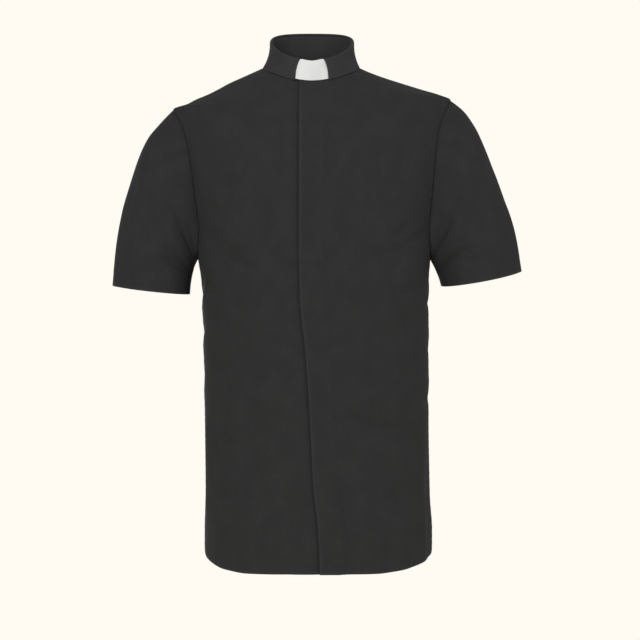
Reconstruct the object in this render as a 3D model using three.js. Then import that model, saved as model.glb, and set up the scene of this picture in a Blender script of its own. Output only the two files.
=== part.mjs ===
// A man's short-sleeved clergy shirt with a tab collar, hollow and open, in the shape it has when worn.
// Every piece that is cut and sewn is a closed wall of cloth, and a narrow gap is left along each seam.
// Millimetres, +Z up. The front faces -Y, and +X is the wearer's left.
// The origin is the centre of the neck, at the height where the yoke bears on the shoulders.
import * as THREE from "three";

// Cloth, seams and turned hems
const CLOTH = 1.2;
const SEAM_GAP = 0.4;
const HEM = { bodyDeep: 10, sleeveDeep: 24, thick: 2.2, step: 1.5 };

// Sections of the body: how far each reaches to the wearer's right (-X) and left (+X)
const SIDES = [
  { z: 24, right: 64, left: 62 },
  { z: 15, right: 66, left: 64 },
  { z: 8, right: 72, left: 69 },
  { z: 5, right: 79, left: 77 },
  { z: 0, right: 90, left: 88 },
  { z: -10, right: 112, left: 114 },
  { z: -20, right: 134, left: 145 },
  { z: -30, right: 152, left: 177 },
  { z: -38, right: 168, left: 204 },
  { z: -46, right: 187, left: 222 },
  { z: -53, right: 200, left: 222.5 },
  { z: -61, right: 222, left: 223 },
  { z: -90, right: 217, left: 219 },
  { z: -150, right: 206, left: 210 },
  { z: -220, right: 192, left: 198 },
  { z: -297, right: 182, left: 189 },
  { z: -340, right: 176, left: 186 },
  { z: -540, right: 171, left: 186 },
  { z: -675, right: 169.5, left: 188 },
  { z: -730, right: 171, left: 191.5 },
  { z: -800, right: 171, left: 191 },
];
// How far each section reaches forward and back, and how square it is (2 is an ellipse)
const DEPTHS = [
  { z: 24, front: 22, back: 55, square: 2 },
  { z: 15, front: 26, back: 68, square: 2 },
  { z: 8, front: 31, back: 77, square: 2 },
  { z: 0, front: 39, back: 85, square: 2 },
  { z: -10, front: 50, back: 93, square: 2 },
  { z: -20, front: 58, back: 99, square: 2 },
  { z: -40, front: 74, back: 108, square: 2.05 },
  { z: -60, front: 87, back: 114, square: 2.1 },
  { z: -100, front: 105, back: 122, square: 2.2 },
  { z: -150, front: 118, back: 127, square: 2.35 },
  { z: -210, front: 124, back: 127, square: 2.45 },
  { z: -297, front: 122, back: 122, square: 2.5 },
  { z: -450, front: 117, back: 114, square: 2.45 },
  { z: -600, front: 116, back: 115, square: 2.4 },
  { z: -800, front: 119, back: 121, square: 2.4 },
];
// The largest folds: troughs (deep is negative) and ridges between two points of the front or back view
const FOLD_END = 60; // length over which a fold fades out at each end
const FOLD_SIDES = 2.5; // how steeply folds come in from the side seams
const FOLDS = [
  { face: "front", x1: -158, z1: -290, x2: -150, z2: -560, wide: 20, deep: -5 },
  { face: "front", x1: -36, z1: -250, x2: -26, z2: -410, wide: 20, deep: -3 },
  { face: "front", x1: -106, z1: -430, x2: -102, z2: -660, wide: 20, deep: -4 },
  { face: "front", x1: -68, z1: -300, x2: -62, z2: -600, wide: 24, deep: 2.5 },
  { face: "front", x1: 50, z1: -552, x2: 178, z2: -585, wide: 22, deep: -5 },
  { face: "front", x1: 100, z1: -400, x2: 108, z2: -520, wide: 20, deep: -3.5 },
  { face: "front", x1: 152, z1: -330, x2: 158, z2: -540, wide: 20, deep: -4 },
  { face: "front", x1: 176, z1: -240, x2: 108, z2: -330, wide: 20, deep: -4 },
  { face: "front", x1: -176, z1: -240, x2: -112, z2: -325, wide: 20, deep: -4.5 },
  { face: "front", x1: 78, z1: -680, x2: 84, z2: -800, wide: 26, deep: 3 },
  { face: "front", x1: -86, z1: -690, x2: -92, z2: -800, wide: 26, deep: 3 },
  { face: "back", x1: -122, z1: -150, x2: -92, z2: -620, wide: 24, deep: -5 },
  { face: "back", x1: 122, z1: -150, x2: 100, z2: -640, wide: 24, deep: -5 },
  { face: "back", x1: -34, z1: -330, x2: -44, z2: -740, wide: 24, deep: -4 },
  { face: "back", x1: 42, z1: -300, x2: 54, z2: -760, wide: 24, deep: -4 },
  { face: "back", x1: 2, z1: -420, x2: 6, z2: -800, wide: 24, deep: 3.5 },
];

// Front opening: the left front laps over the right one and hides the buttons.
// Lines of points across the lap, by their distance from its centre line, and how far each is moved out.
const LAP = {
  left: [
    { across: -19, lift: 1.9 },
    { across: 0, lift: 1.9 },
    { across: 17.5, lift: 1.9 },
    { across: 20.5, lift: 0 },
  ],
  right: [
    { across: 17, lift: -2.3 },
    { across: -2, lift: -2.3 },
    { across: -21, lift: -2.3 },
    { across: -27, lift: -1.2 },
    { across: -33, lift: 0 },
  ],
};
const LAP_TOP = { from: -70, to: -25, kept: 0.2 }; // the lift of the lap flattens towards the neck
// The lap's centre line drifts to the wearer's left as the fronts hang
const OPENING_LINE = [
  { z: -20, x: 0 },
  { z: -290, x: 0 },
  { z: -365, x: 1.5 },
  { z: -437, x: 9 },
  { z: -573, x: 18 },
  { z: -653, x: 22 },
  { z: -717, x: 29 },
  { z: -800, x: 33 },
];
const BUTTONS = { count: 7, top: -78, pitch: 93, seat: 0.3 };
const BUTTON = { radius: 5.5, thick: 2, rim: 1.2, round: 0.5, slope: 0.4, dish: 0.5 };

// Curved hem: level at the centre, rising towards the side seams
const HEM_LINE = { front: -789, back: -798, sideRise: 28, riseAngle: 46, riseCurve: 1.6 };

// Armholes are ovals drawn on the body, and a sleeve is a tube of ovals between its outer and inner line.
// The cuff hangs lower in front by its drop, and as much higher behind.
const ARMHOLE = { front: 57, back: 63, scoop: 0.45, scoopRise: 1.5 };
const PIT_Z = -297;
const ARMS = {
  right: {
    sign: -1,
    tipZ: -61,
    cuffDrop: 3.5,
    lines: [
      { t: 0, outX: 222, outZ: -61, inX: 182, inZ: PIT_Z },
      { t: 0.1, outX: 243.5, outZ: -84, inX: 184, inZ: -301 },
      { t: 0.2, outX: 261.5, outZ: -108, inX: 186, inZ: -306 },
      { t: 0.3, outX: 275, outZ: -135, inX: 188, inZ: -311 },
      { t: 0.45, outX: 290, outZ: -178, inX: 190, inZ: -319 },
      { t: 0.6, outX: 303, outZ: -221, inX: 192, inZ: -328 },
      { t: 0.8, outX: 313.5, outZ: -281, inX: 194, inZ: -341 },
      { t: 1, outX: 319, outZ: -341, inX: 195, inZ: -355 },
    ],
  },
  left: {
    sign: 1,
    tipZ: -46,
    cuffDrop: 6,
    lines: [
      { t: 0, outX: 222, outZ: -46, inX: 189, inZ: PIT_Z },
      { t: 0.1, outX: 245, outZ: -66, inX: 190.5, inZ: -301 },
      { t: 0.2, outX: 260.5, outZ: -91, inX: 192.5, inZ: -306 },
      { t: 0.3, outX: 272.5, outZ: -117, inX: 194.5, inZ: -310 },
      { t: 0.45, outX: 290, outZ: -160, inX: 197.5, inZ: -317 },
      { t: 0.6, outX: 306.5, outZ: -201, inX: 200.5, inZ: -324 },
      { t: 0.8, outX: 324, outZ: -259, inX: 204, inZ: -334 },
      { t: 1, outX: 334, outZ: -318, inX: 206, inZ: -342 },
    ],
  },
};
const SLEEVE_DEPTHS = [
  { t: 0, front: 57, back: 63 },
  { t: 0.15, front: 63, back: 66 },
  { t: 0.35, front: 67, back: 66 },
  { t: 0.6, front: 66, back: 59 },
  { t: 1, front: 62, back: 44 },
];
const SLEEVE_BLEND = 0.5; // the armhole's own curve has faded out of the tube by this t
// Sleeve folds: turn goes round the tube in degrees (0 the front, 90 the top), t goes down it
const SLEEVE_FOLDS = [
  { turn1: -52, t1: 0.08, turn2: 24, t2: 0.5, wide: 17, deep: -5 },
  { turn1: -58, t1: 0.45, turn2: 0, t2: 0.85, wide: 16, deep: -4 },
  { turn1: 62, t1: 0.4, turn2: 46, t2: 1, wide: 17, deep: -3 },
  { turn1: 232, t1: 0.08, turn2: 160, t2: 0.55, wide: 18, deep: -5 },
  { turn1: 236, t1: 0.5, turn2: 182, t2: 0.9, wide: 16, deep: -4 },
  { turn1: 122, t1: 0.35, turn2: 134, t2: 1, wide: 18, deep: -3 },
];
const SLEEVE_PLAN = { perDegree: 1.05, perT: 250, end: 34, headFade: 8 }; // the skin laid flat, for its folds

// Yoke: its front seams run forward of the shoulder ridge, and its back seam is level
const YOKE = { frontY: -32, backZ: -100, neckTurn: 40 };

// Collar: a stand with an outer layer turned down over it, open in front for a stiff white tab
const NECK_SEAM = { side: 8, tilt: 22.5, dip: 6.5, lowest: -30 };
const COLLAR_TOP = { side: 49, tilt: 28.5, dip: 8.5, right: 67.5, left: 67.5, deep: 59, centreY: -2 };
// It flares at its foot, which is drawn down until it rests this far above the body's cloth
const COLLAR = { flare: 3, curve: 2.2, seat: 0.5, rest: 0.6, mostDrop: 1, search: 15 };
const COLLAR_FRONT = { from: -160, to: -20 }; // directions between which a point at a given x is looked for
// The turned-down layer in section: height share, and depth of its outer and inner face
const FALL_ROWS = [
  { v: 0, outer: 0, inner: 1.4 },
  { v: 0.14, outer: 0, inner: 1.4 },
  { v: 0.32, outer: 0, inner: 1.4 },
  { v: 0.55, outer: 0, inner: 1.4 },
  { v: 0.78, outer: 0, inner: 1.4 },
  { v: 0.925, outer: 0, inner: 1.4 },
  { v: 0.94, outer: 0, inner: 4.6 },
  { v: 0.97, outer: 0.1, inner: 4.6 },
  { v: 1, outer: 1, inner: 3.4 },
];
const STAND = { outer: 3.3, thick: 1.2, top: 0.91, lapTurn: 11, ramp: 18, lapDepth: 1.6 };
const TAB_GAP = { bottom: 26.2, narrows: 6.2, bulge: 7.2 };
// The tab shows in the middle, and its hidden ends stop lower, inside the fold
const TAB = { outer: 1.75, thick: 1, shownHalf: 19, step: 0.8, endTurn: 37, middleTurn: 25.9, endTop: 0.91 };

// How finely each stretch is divided. Pieces that meet have the same points along their seam.
const STEPS = {
  low: 14,
  high: 10,
  neck: 7,
  shoulder: 7,
  armTop: 5,
  back: 26,
  sleeve: 11,
  stand: 46,
  standRows: 3,
  fall: 42,
  tab: 8,
  tabRows: 4,
  buttonSides: 16,
};

const CLOTH_FINISH = { color: 0x303030, roughness: 0.92, metalness: 0 };
const COLLAR_FINISH = { color: 0x343435, roughness: 0.9, metalness: 0 };
const TAB_FINISH = { color: 0xe3e7ea, roughness: 0.45, metalness: 0 };
const BUTTON_FINISH = { color: 0x1b1b1b, roughness: 0.3, metalness: 0 };

const radians = THREE.MathUtils.degToRad;
const mix = THREE.MathUtils.lerp;
const clamp01 = (value) => THREE.MathUtils.clamp(value, 0, 1);
const smooth = (value) => THREE.MathUtils.smoothstep(value, 0, 1);
const shares = (count) => Array.from({ length: count + 1 }, (_, i) => i / count);
const FULL_TURN = 2 * Math.PI;
const HALVINGS = 40;
const PROBE = { angle: 0.01, z: 1, share: 0.02 }; // half steps that measure which way a surface faces
const FRONT_TURN = radians(-90);
const BACK_TURN = radians(90);

// Gives an angle the whole turns that bring it nearest to another.
const nearest = (angle, to) => angle - FULL_TURN * Math.round((angle - to) / FULL_TURN);

// Halves an interval until it holds the value where a rising test turns true.
function solve(low, high, isPast) {
  for (let i = 0; i < HALVINGS; i++) {
    const middle = (low + high) / 2;
    if (isPast(middle)) high = middle;
    else low = middle;
  }
  return low;
}

// A smooth curve through one column of a table, which never overshoots its rows.
function columnCurve(rows, by, column) {
  const points = rows.map((row) => [row[by], row[column]]).sort((a, b) => a[0] - b[0]);
  const steps = points.slice(1).map(([x, y], i) => (y - points[i][1]) / (x - points[i][0]));
  const slopes = points.map((_, i) => {
    const before = steps[Math.max(i - 1, 0)];
    const after = steps[Math.min(i, steps.length - 1)];
    return before * after <= 0 ? 0 : (2 * before * after) / (before + after);
  });
  return (x) => {
    const after = points.findIndex((point) => point[0] > x);
    const i = after < 0 ? steps.length - 1 : Math.max(after - 1, 0);
    const width = points[i + 1][0] - points[i][0];
    const u = clamp01((x - points[i][0]) / width);
    const bend = (slopes[i] * (1 - u) - slopes[i + 1] * u) * u * (1 - u) * width;
    const eased = mix(points[i][1], points[i + 1][1], u * u * (3 - 2 * u));
    return eased + bend;
  };
}

const rightReach = columnCurve(SIDES, "z", "right");
const leftReach = columnCurve(SIDES, "z", "left");
const frontReach = columnCurve(DEPTHS, "z", "front");
const backReach = columnCurve(DEPTHS, "z", "back");
const squareness = columnCurve(DEPTHS, "z", "square");
const openingLine = columnCurve(OPENING_LINE, "z", "x");
const sleeveFront = columnCurve(SLEEVE_DEPTHS, "t", "front");
const sleeveBack = columnCurve(SLEEVE_DEPTHS, "t", "back");

// How strongly a fold between two points acts at a place: 1 on its line, fading sideways and at its ends.
function foldShare(u, v, from, to, wide, end) {
  const length = Math.hypot(to.u - from.u, to.v - from.v);
  const along = ((u - from.u) * (to.u - from.u) + (v - from.v) * (to.v - from.v)) / length;
  const across = ((u - from.u) * (to.v - from.v) - (v - from.v) * (to.u - from.u)) / length;
  const ends = smooth(along / end + 0.5) * smooth((length - along) / end + 0.5);
  return ends * Math.exp(-((across / wide) ** 2));
}

function bodyFolds(x, y, z) {
  const face = y < 0 ? "front" : "back";
  return FOLDS.filter((fold) => fold.face === face).reduce((sum, fold) => {
    const from = { u: fold.x1, v: fold.z1 };
    const to = { u: fold.x2, v: fold.z2 };
    return sum + fold.deep * foldShare(x, z, from, to, fold.wide, FOLD_END);
  }, 0);
}

// A point of the body's outer face, by direction (0 is +X, 90 degrees the back) and height.
function bodyPoint(angle, z) {
  const across = Math.cos(angle);
  const along = Math.sin(angle);
  const side = across < 0 ? rightReach(z) : leftReach(z);
  const depth = along < 0 ? frontReach(z) : backReach(z);
  const power = squareness(z);
  const sum = Math.abs(across / side) ** power + Math.abs(along / depth) ** power;
  const radius = sum ** (-1 / power);
  const awayFromSides = smooth(Math.abs(along) * FOLD_SIDES);
  const reach = radius + awayFromSides * bodyFolds(radius * across, radius * along, z);
  return new THREE.Vector3(reach * across, reach * along, z);
}

// The direction to the point of the front that lies at x, and to the point of one side that lies at y.
function angleAtX(x, z) {
  const side = x < 0 ? rightReach(z) : leftReach(z);
  const power = squareness(z);
  const y = -frontReach(z) * (1 - Math.abs(x / side) ** power) ** (1 / power);
  return Math.atan2(y, x);
}
function angleAtY(sign, y, z) {
  const side = sign < 0 ? rightReach(z) : leftReach(z);
  const depth = y < 0 ? frontReach(z) : backReach(z);
  const power = squareness(z);
  const x = sign * side * (1 - Math.abs(y / depth) ** power) ** (1 / power);
  return Math.atan2(y, x);
}

// The unit vector square to a surface that is a function of two parameters.
function squareTo(surface, a, b, stepA, stepB) {
  const alongA = surface(a + stepA, b).sub(surface(a - stepA, b));
  const alongB = surface(a, b + stepB).sub(surface(a, b - stepB));
  return alongA.cross(alongB).normalize();
}
const bodyOutward = (angle, z) => squareTo(bodyPoint, angle, z, PROBE.angle, PROBE.z);
const withinEnds = (share) => THREE.MathUtils.clamp(share, PROBE.share, 1 - PROBE.share);

const neckZ = (angle) => {
  const s = Math.sin(angle);
  return NECK_SEAM.side + NECK_SEAM.tilt * s - NECK_SEAM.dip * s * s;
};

const hemZ = (angle) => {
  const s = Math.sin(angle);
  const level = mix(HEM_LINE.front, HEM_LINE.back, smooth(s));
  const fromSide = THREE.MathUtils.radToDeg(Math.asin(Math.abs(s)));
  const rise = Math.max(0, 1 - fromSide / HEM_LINE.riseAngle) ** HEM_LINE.riseCurve;
  return level + HEM_LINE.sideRise * rise;
};

// An armhole is walked by a turn: -90 degrees is the armpit, 0 the front, 90 the shoulder tip, 180 the back.
// Its lower half is scooped out, wider and flatter than an oval.
function armholeSpot(arm, turn, near = 0) {
  const z = mix(PIT_Z, arm.tipZ, (1 + Math.sin(turn)) / 2);
  const forward = Math.cos(turn);
  const scooped = 1 - ARMHOLE.scoop * smooth(-ARMHOLE.scoopRise * Math.sin(turn));
  const reach = Math.abs(forward) ** scooped * (forward > 0 ? ARMHOLE.front : ARMHOLE.back);
  const y = -Math.sign(forward) * reach;
  return { angle: nearest(angleAtY(arm.sign, y, z), near), z };
}
const armholePoint = (arm, turn) => {
  const { angle, z } = armholeSpot(arm, turn);
  return bodyPoint(angle, z);
};
const YOKE_FRONT_TURN = Math.acos(-YOKE.frontY / ARMHOLE.front);
const yokeBackTurn = (arm) => {
  const share = (YOKE.backZ - PIT_Z) / (arm.tipZ - PIT_Z);
  return Math.PI - Math.asin(2 * share - 1);
};

// The turns of the points round an armhole: up the front, over the top along the yoke, and down the back.
const frontTurns = () => shares(STEPS.high).map((s) => mix(radians(-90), YOKE_FRONT_TURN, s));
const topTurns = (arm) => shares(STEPS.armTop).map((s) => mix(YOKE_FRONT_TURN, yokeBackTurn(arm), s));
const backTurns = (arm) => shares(STEPS.high).map((s) => mix(yokeBackTurn(arm), radians(270), s));

// The front yoke seam, from its corner on the neck to its corner on the armhole.
function yokeSeamSpot(arm, share, near) {
  const seamSpot = (z) => ({ angle: nearest(angleAtY(arm.sign, YOKE.frontY, z), near), z });
  const neckCorner = solve(NECK_SEAM.lowest, NECK_SEAM.side, (z) => z > neckZ(seamSpot(z).angle));
  return seamSpot(mix(neckCorner, armholeSpot(arm, YOKE_FRONT_TURN).z, share));
}

const sleeveLines = Object.fromEntries(
  Object.entries(ARMS).map(([name, arm]) => [
    name,
    Object.fromEntries(
      ["outX", "outZ", "inX", "inZ"].map((column) => [column, columnCurve(arm.lines, "t", column)]),
    ),
  ]),
);

// A ring of the sleeve: an oval between the outer and inner line, which starts with the armhole's own curve.
function sleeveOval(name, turn, t) {
  const { sign, cuffDrop } = ARMS[name];
  const line = sleeveLines[name];
  const share = (1 + Math.sin(turn)) / 2;
  const forward = Math.cos(turn);
  const y = -forward * (forward > 0 ? sleeveFront(t) : sleeveBack(t));
  return new THREE.Vector3(
    sign * mix(line.inX(t), line.outX(t), share),
    y,
    mix(line.inZ(t), line.outZ(t), share) - cuffDrop * t * t * forward,
  );
}
function sleeveTube(name, turn, t) {
  const along = clamp01(t);
  const fade = Math.max(0, 1 - along / SLEEVE_BLEND) ** 2;
  const kept = armholePoint(ARMS[name], turn).sub(sleeveOval(name, turn, 0));
  return sleeveOval(name, turn, along).addScaledVector(kept, fade);
}
function sleeveOutward(name, turn, t) {
  const surface = (a, b) => sleeveTube(name, a, b);
  const outward = squareTo(surface, turn, withinEnds(t), PROBE.share, PROBE.share);
  return outward.multiplyScalar(-ARMS[name].sign);
}
function sleeveFolds(turn, t) {
  const { perDegree, perT, end, headFade } = SLEEVE_PLAN;
  const degrees = THREE.MathUtils.radToDeg(turn);
  return SLEEVE_FOLDS.reduce((sum, fold) => {
    const from = { u: fold.turn1 * perDegree, v: fold.t1 * perT };
    const to = { u: fold.turn2 * perDegree, v: fold.t2 * perT };
    const laps = [degrees, degrees - 360, degrees + 360];
    const acts = laps.map((d) => foldShare(d * perDegree, t * perT, from, to, fold.wide, end));
    return sum + fold.deep * Math.max(...acts) * smooth(t * headFade);
  }, 0);
}
const sleevePoint = (name, turn, t) =>
  sleeveTube(name, turn, t).addScaledVector(sleeveOutward(name, turn, t), sleeveFolds(turn, t));

// Where body and sleeve meet, each is cut towards its own inside, and towards the other's where they run on.
function armholeCut(name, turn) {
  const { angle, z } = armholeSpot(ARMS[name], turn);
  const body = bodyOutward(angle, z);
  const sleeve = sleeveOutward(name, turn, 0);
  const runOn = clamp01(body.dot(sleeve));
  return {
    body: body.clone().addScaledVector(sleeve, runOn).normalize().negate(),
    sleeve: sleeve.clone().addScaledVector(body, runOn).normalize().negate(),
    outward: body,
  };
}

// A closed wall between an outer and an inner grid of points. A tube's grid closes on itself.
function wall(outer, inner, tube = false) {
  const lines = outer.length;
  const rows = outer[0].length;
  const positions = [...outer.flat(), ...inner.flat()].flatMap((p) => [p.x, p.y, p.z]);
  const at = (face, i, j) => face * lines * rows + (i % lines) * rows + j;
  const index = [];
  const quad = (a, b, c, d) => index.push(a, b, c, a, c, d);
  const top = rows - 1;
  const end = lines - 1;
  for (let i = 0; i < (tube ? lines : end); i++) {
    for (let j = 0; j < top; j++) {
      quad(at(0, i, j), at(0, i + 1, j), at(0, i + 1, j + 1), at(0, i, j + 1));
      quad(at(1, i, j), at(1, i, j + 1), at(1, i + 1, j + 1), at(1, i + 1, j));
    }
    quad(at(0, i, 0), at(1, i, 0), at(1, i + 1, 0), at(0, i + 1, 0));
    quad(at(0, i, top), at(0, i + 1, top), at(1, i + 1, top), at(1, i, top));
  }
  for (let j = 0; j < top && !tube; j++) {
    quad(at(0, 0, j), at(0, 0, j + 1), at(1, 0, j + 1), at(1, 0, j));
    quad(at(0, end, j), at(1, end, j), at(1, end, j + 1), at(0, end, j + 1));
  }
  const geometry = new THREE.BufferGeometry();
  geometry.setAttribute("position", new THREE.Float32BufferAttribute(positions, 3));
  geometry.setIndex(volumeOf(positions, index) < 0 ? index.reverse() : index);
  geometry.computeVertexNormals();
  return geometry;
}
function volumeOf(positions, index) {
  const corner = (i) => new THREE.Vector3().fromArray(positions, 3 * i);
  let volume = 0;
  for (let i = 0; i < index.length; i += 3) {
    volume += corner(index[i]).dot(corner(index[i + 1]).cross(corner(index[i + 2]))) / 6;
  }
  return volume;
}

// Draws the sewn edges of a grid in by half a seam gap. Each move is towards the next line of points.
function trimMoves(grid, sewn) {
  const moves = grid.map((line) => line.map(() => new THREE.Vector3()));
  const end = grid.length - 1;
  const top = grid[0].length - 1;
  const move = (i, j, towards) =>
    moves[i][j].add(towards.clone().sub(grid[i][j]).setLength(SEAM_GAP / 2));
  if (sewn.includes("start")) grid[0].forEach((_, j) => move(0, j, grid[1][j]));
  if (sewn.includes("end")) grid[end].forEach((_, j) => move(end, j, grid[end - 1][j]));
  if (sewn.includes("bottom")) grid.forEach((line, i) => move(i, 0, line[1]));
  if (sewn.includes("top")) grid.forEach((line, i) => move(i, top, line[top - 1]));
  return moves;
}

// A panel of the body from a grid of spots: where each is, how far it is moved out, and its thickness.
function bodyPanel(spots, sewn) {
  const outer = spots.map((line) =>
    line.map(({ angle, z, lift = 0 }) =>
      bodyPoint(angle, z).addScaledVector(bodyOutward(angle, z), lift),
    ),
  );
  const moves = trimMoves(outer, sewn);
  outer.forEach((line, i) => line.forEach((point, j) => point.add(moves[i][j])));
  const inner = outer.map((line, i) =>
    line.map((point, j) => {
      const { angle, z, thick = CLOTH, cut } = spots[i][j];
      return point.clone().addScaledVector(cut ?? bodyOutward(angle, z).negate(), thick);
    }),
  );
  return wall(outer, inner);
}

// The spot at shares s and t inside four edges, which are functions of s or t.
function between(edges, s, t) {
  const corner = { a: edges.low(0), b: edges.low(1), c: edges.high(0), d: edges.high(1) };
  const [low, high, start, end] = [edges.low(s), edges.high(s), edges.start(t), edges.end(t)];
  const blend = (key) => {
    const flat = mix(
      mix(corner.a[key], corner.b[key], s),
      mix(corner.c[key], corner.d[key], s),
      t,
    );
    return mix(low[key], high[key], t) + mix(start[key], end[key], s) - flat;
  };
  return { angle: blend("angle"), z: blend("z") };
}

// Rows from the hem to the armpit, as shares of the way up. The turned hem is thicker.
const LOW_ROWS = (() => {
  const length = PIT_Z - HEM_LINE.front;
  const hemTop = HEM.bodyDeep / length;
  return [
    { share: 0, thick: HEM.thick },
    { share: hemTop, thick: HEM.thick },
    { share: hemTop + HEM.step / length, thick: CLOTH },
    ...shares(STEPS.low)
      .slice(1)
      .map((share) => ({ share, thick: CLOTH })),
  ];
})();
const HIGH_ROWS = shares(STEPS.high).slice(1);

// Marks the spots of an edge that lies on an armhole with the direction of the cut there.
function markCuts(spots, name, turns) {
  spots.forEach((spot, i) => (spot.cut = armholeCut(name, turns[i]).body));
}

// A front, from the lap to the side seam and armhole, and from the hem to the neck and yoke seam.
function frontPanel(name) {
  const arm = ARMS[name];
  const side = arm.sign < 0 ? -Math.PI : 0;
  const lapSpot = (line, z) => ({ angle: angleAtX(openingLine(z) + line.across, z), z });
  const lapTop = (line) =>
    solve(NECK_SEAM.lowest, NECK_SEAM.side, (z) => z > neckZ(lapSpot(line, z).angle));
  const liftAt = (line, z) => {
    const flat = smooth((z - LAP_TOP.from) / (LAP_TOP.to - LAP_TOP.from));
    return line.lift < 0 ? line.lift : line.lift * mix(1, LAP_TOP.kept, flat);
  };
  const lapLine = (line) => {
    const heights = [
      ...LOW_ROWS.map(({ share, thick }) => [mix(HEM_LINE.front, PIT_Z, share), thick]),
      ...HIGH_ROWS.map((share) => [mix(PIT_Z, lapTop(line), share), CLOTH]),
    ];
    return heights.map(([z, thick]) => ({ ...lapSpot(line, z), lift: liftAt(line, z), thick }));
  };

  const last = LAP[name].at(-1);
  const lowAngle = (s, z) => mix(lapSpot(last, z).angle, side, s);
  const columns = STEPS.neck + STEPS.shoulder;
  const neckShare = STEPS.neck / columns;
  const neckCorner = yokeSeamSpot(arm, 0, FRONT_TURN);
  const neckStart = lapSpot(last, lapTop(last));
  const upper = {
    low: (s) => ({ angle: lowAngle(s, PIT_Z), z: PIT_Z }),
    high: (s) => {
      if (s > neckShare) return yokeSeamSpot(arm, (s - neckShare) / (1 - neckShare), FRONT_TURN);
      const angle = mix(neckStart.angle, neckCorner.angle, s / neckShare);
      return { angle, z: neckZ(angle) };
    },
    start: (t) => lapSpot(last, mix(PIT_Z, neckStart.z, t)),
    end: (t) => armholeSpot(arm, mix(radians(-90), YOKE_FRONT_TURN, t), FRONT_TURN),
  };
  const field = shares(columns)
    .slice(1)
    .map((s) => {
      const low = LOW_ROWS.map(({ share, thick }) => {
        const z = mix(hemZ(lowAngle(s, HEM_LINE.front)), PIT_Z, share);
        return { angle: lowAngle(s, z), z, thick };
      });
      return [...low, ...HIGH_ROWS.map((t) => between(upper, s, t))];
    });
  markCuts(field.at(-1).slice(-1 - STEPS.high), name, frontTurns());
  return bodyPanel([...LAP[name].map(lapLine), ...field], ["end", "top"]);
}

// The back, from side seam to side seam, and from the hem to the armholes and yoke seam.
function backPanel() {
  const { left, right } = ARMS;
  const seamEnd = (arm) => armholeSpot(arm, yokeBackTurn(arm), BACK_TURN);
  const upper = {
    low: (s) => ({ angle: mix(0, Math.PI, s), z: PIT_Z }),
    high: (s) => ({ angle: mix(seamEnd(left).angle, seamEnd(right).angle, s), z: YOKE.backZ }),
    start: (t) => armholeSpot(left, mix(radians(270), yokeBackTurn(left), t), BACK_TURN),
    end: (t) => armholeSpot(right, mix(radians(270), yokeBackTurn(right), t), BACK_TURN),
  };
  const spots = shares(STEPS.back).map((s) => {
    const angle = mix(0, Math.PI, s);
    const low = LOW_ROWS.map(({ share, thick }) => ({
      angle,
      z: mix(hemZ(angle), PIT_Z, share),
      thick,
    }));
    return [...low, ...HIGH_ROWS.map((t) => between(upper, s, t))];
  });
  markCuts(spots[0].slice(-1 - STEPS.high), "left", backTurns(left).reverse());
  markCuts(spots.at(-1).slice(-1 - STEPS.high), "right", backTurns(right).reverse());
  return bodyPanel(spots, ["start", "end", "top"]);
}

// The yoke, over both shoulders, from both armhole tops and the back seam up to the neck.
function yokePanel() {
  const { left, right } = ARMS;
  const onArm = (arm) => topTurns(arm).map((turn) => armholeSpot(arm, turn, BACK_TURN));
  const [leftTop, rightTop] = [onArm(left), onArm(right).reverse()];
  const seam = shares(STEPS.back)
    .slice(1, -1)
    .map((s) => ({ angle: mix(leftTop.at(-1).angle, rightTop[0].angle, s), z: YOKE.backZ }));
  const lower = [...leftTop, ...seam, ...rightTop];

  const [from, to] = [yokeSeamSpot(left, 0, BACK_TURN), yokeSeamSpot(right, 0, BACK_TURN)];
  const behind = [radians(YOKE.neckTurn), radians(180 - YOKE.neckTurn)];
  const neckAngles = [
    ...shares(STEPS.armTop).map((s) => mix(from.angle, behind[0], s)),
    ...shares(STEPS.back).slice(1, -1).map((s) => mix(behind[0], behind[1], s)),
    ...shares(STEPS.armTop).map((s) => mix(behind[1], to.angle, s)),
  ];
  const upper = neckAngles.map((angle) => ({ angle, z: neckZ(angle) }));

  const last = lower.length - 1;
  const edges = {
    low: (s) => lower[Math.round(s * last)],
    high: (s) => upper[Math.round(s * last)],
    start: (t) => yokeSeamSpot(left, 1 - t, BACK_TURN),
    end: (t) => yokeSeamSpot(right, 1 - t, BACK_TURN),
  };
  const spots = lower.map((_, i) =>
    shares(STEPS.shoulder).map((t) => between(edges, i / last, t)),
  );
  const foot = spots.map((line) => line[0]);
  markCuts(foot.slice(0, STEPS.armTop + 1), "left", topTurns(left));
  markCuts(foot.slice(-1 - STEPS.armTop), "right", topTurns(right).reverse());
  return bodyPanel(spots, ["start", "end", "bottom", "top"]);
}

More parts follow.
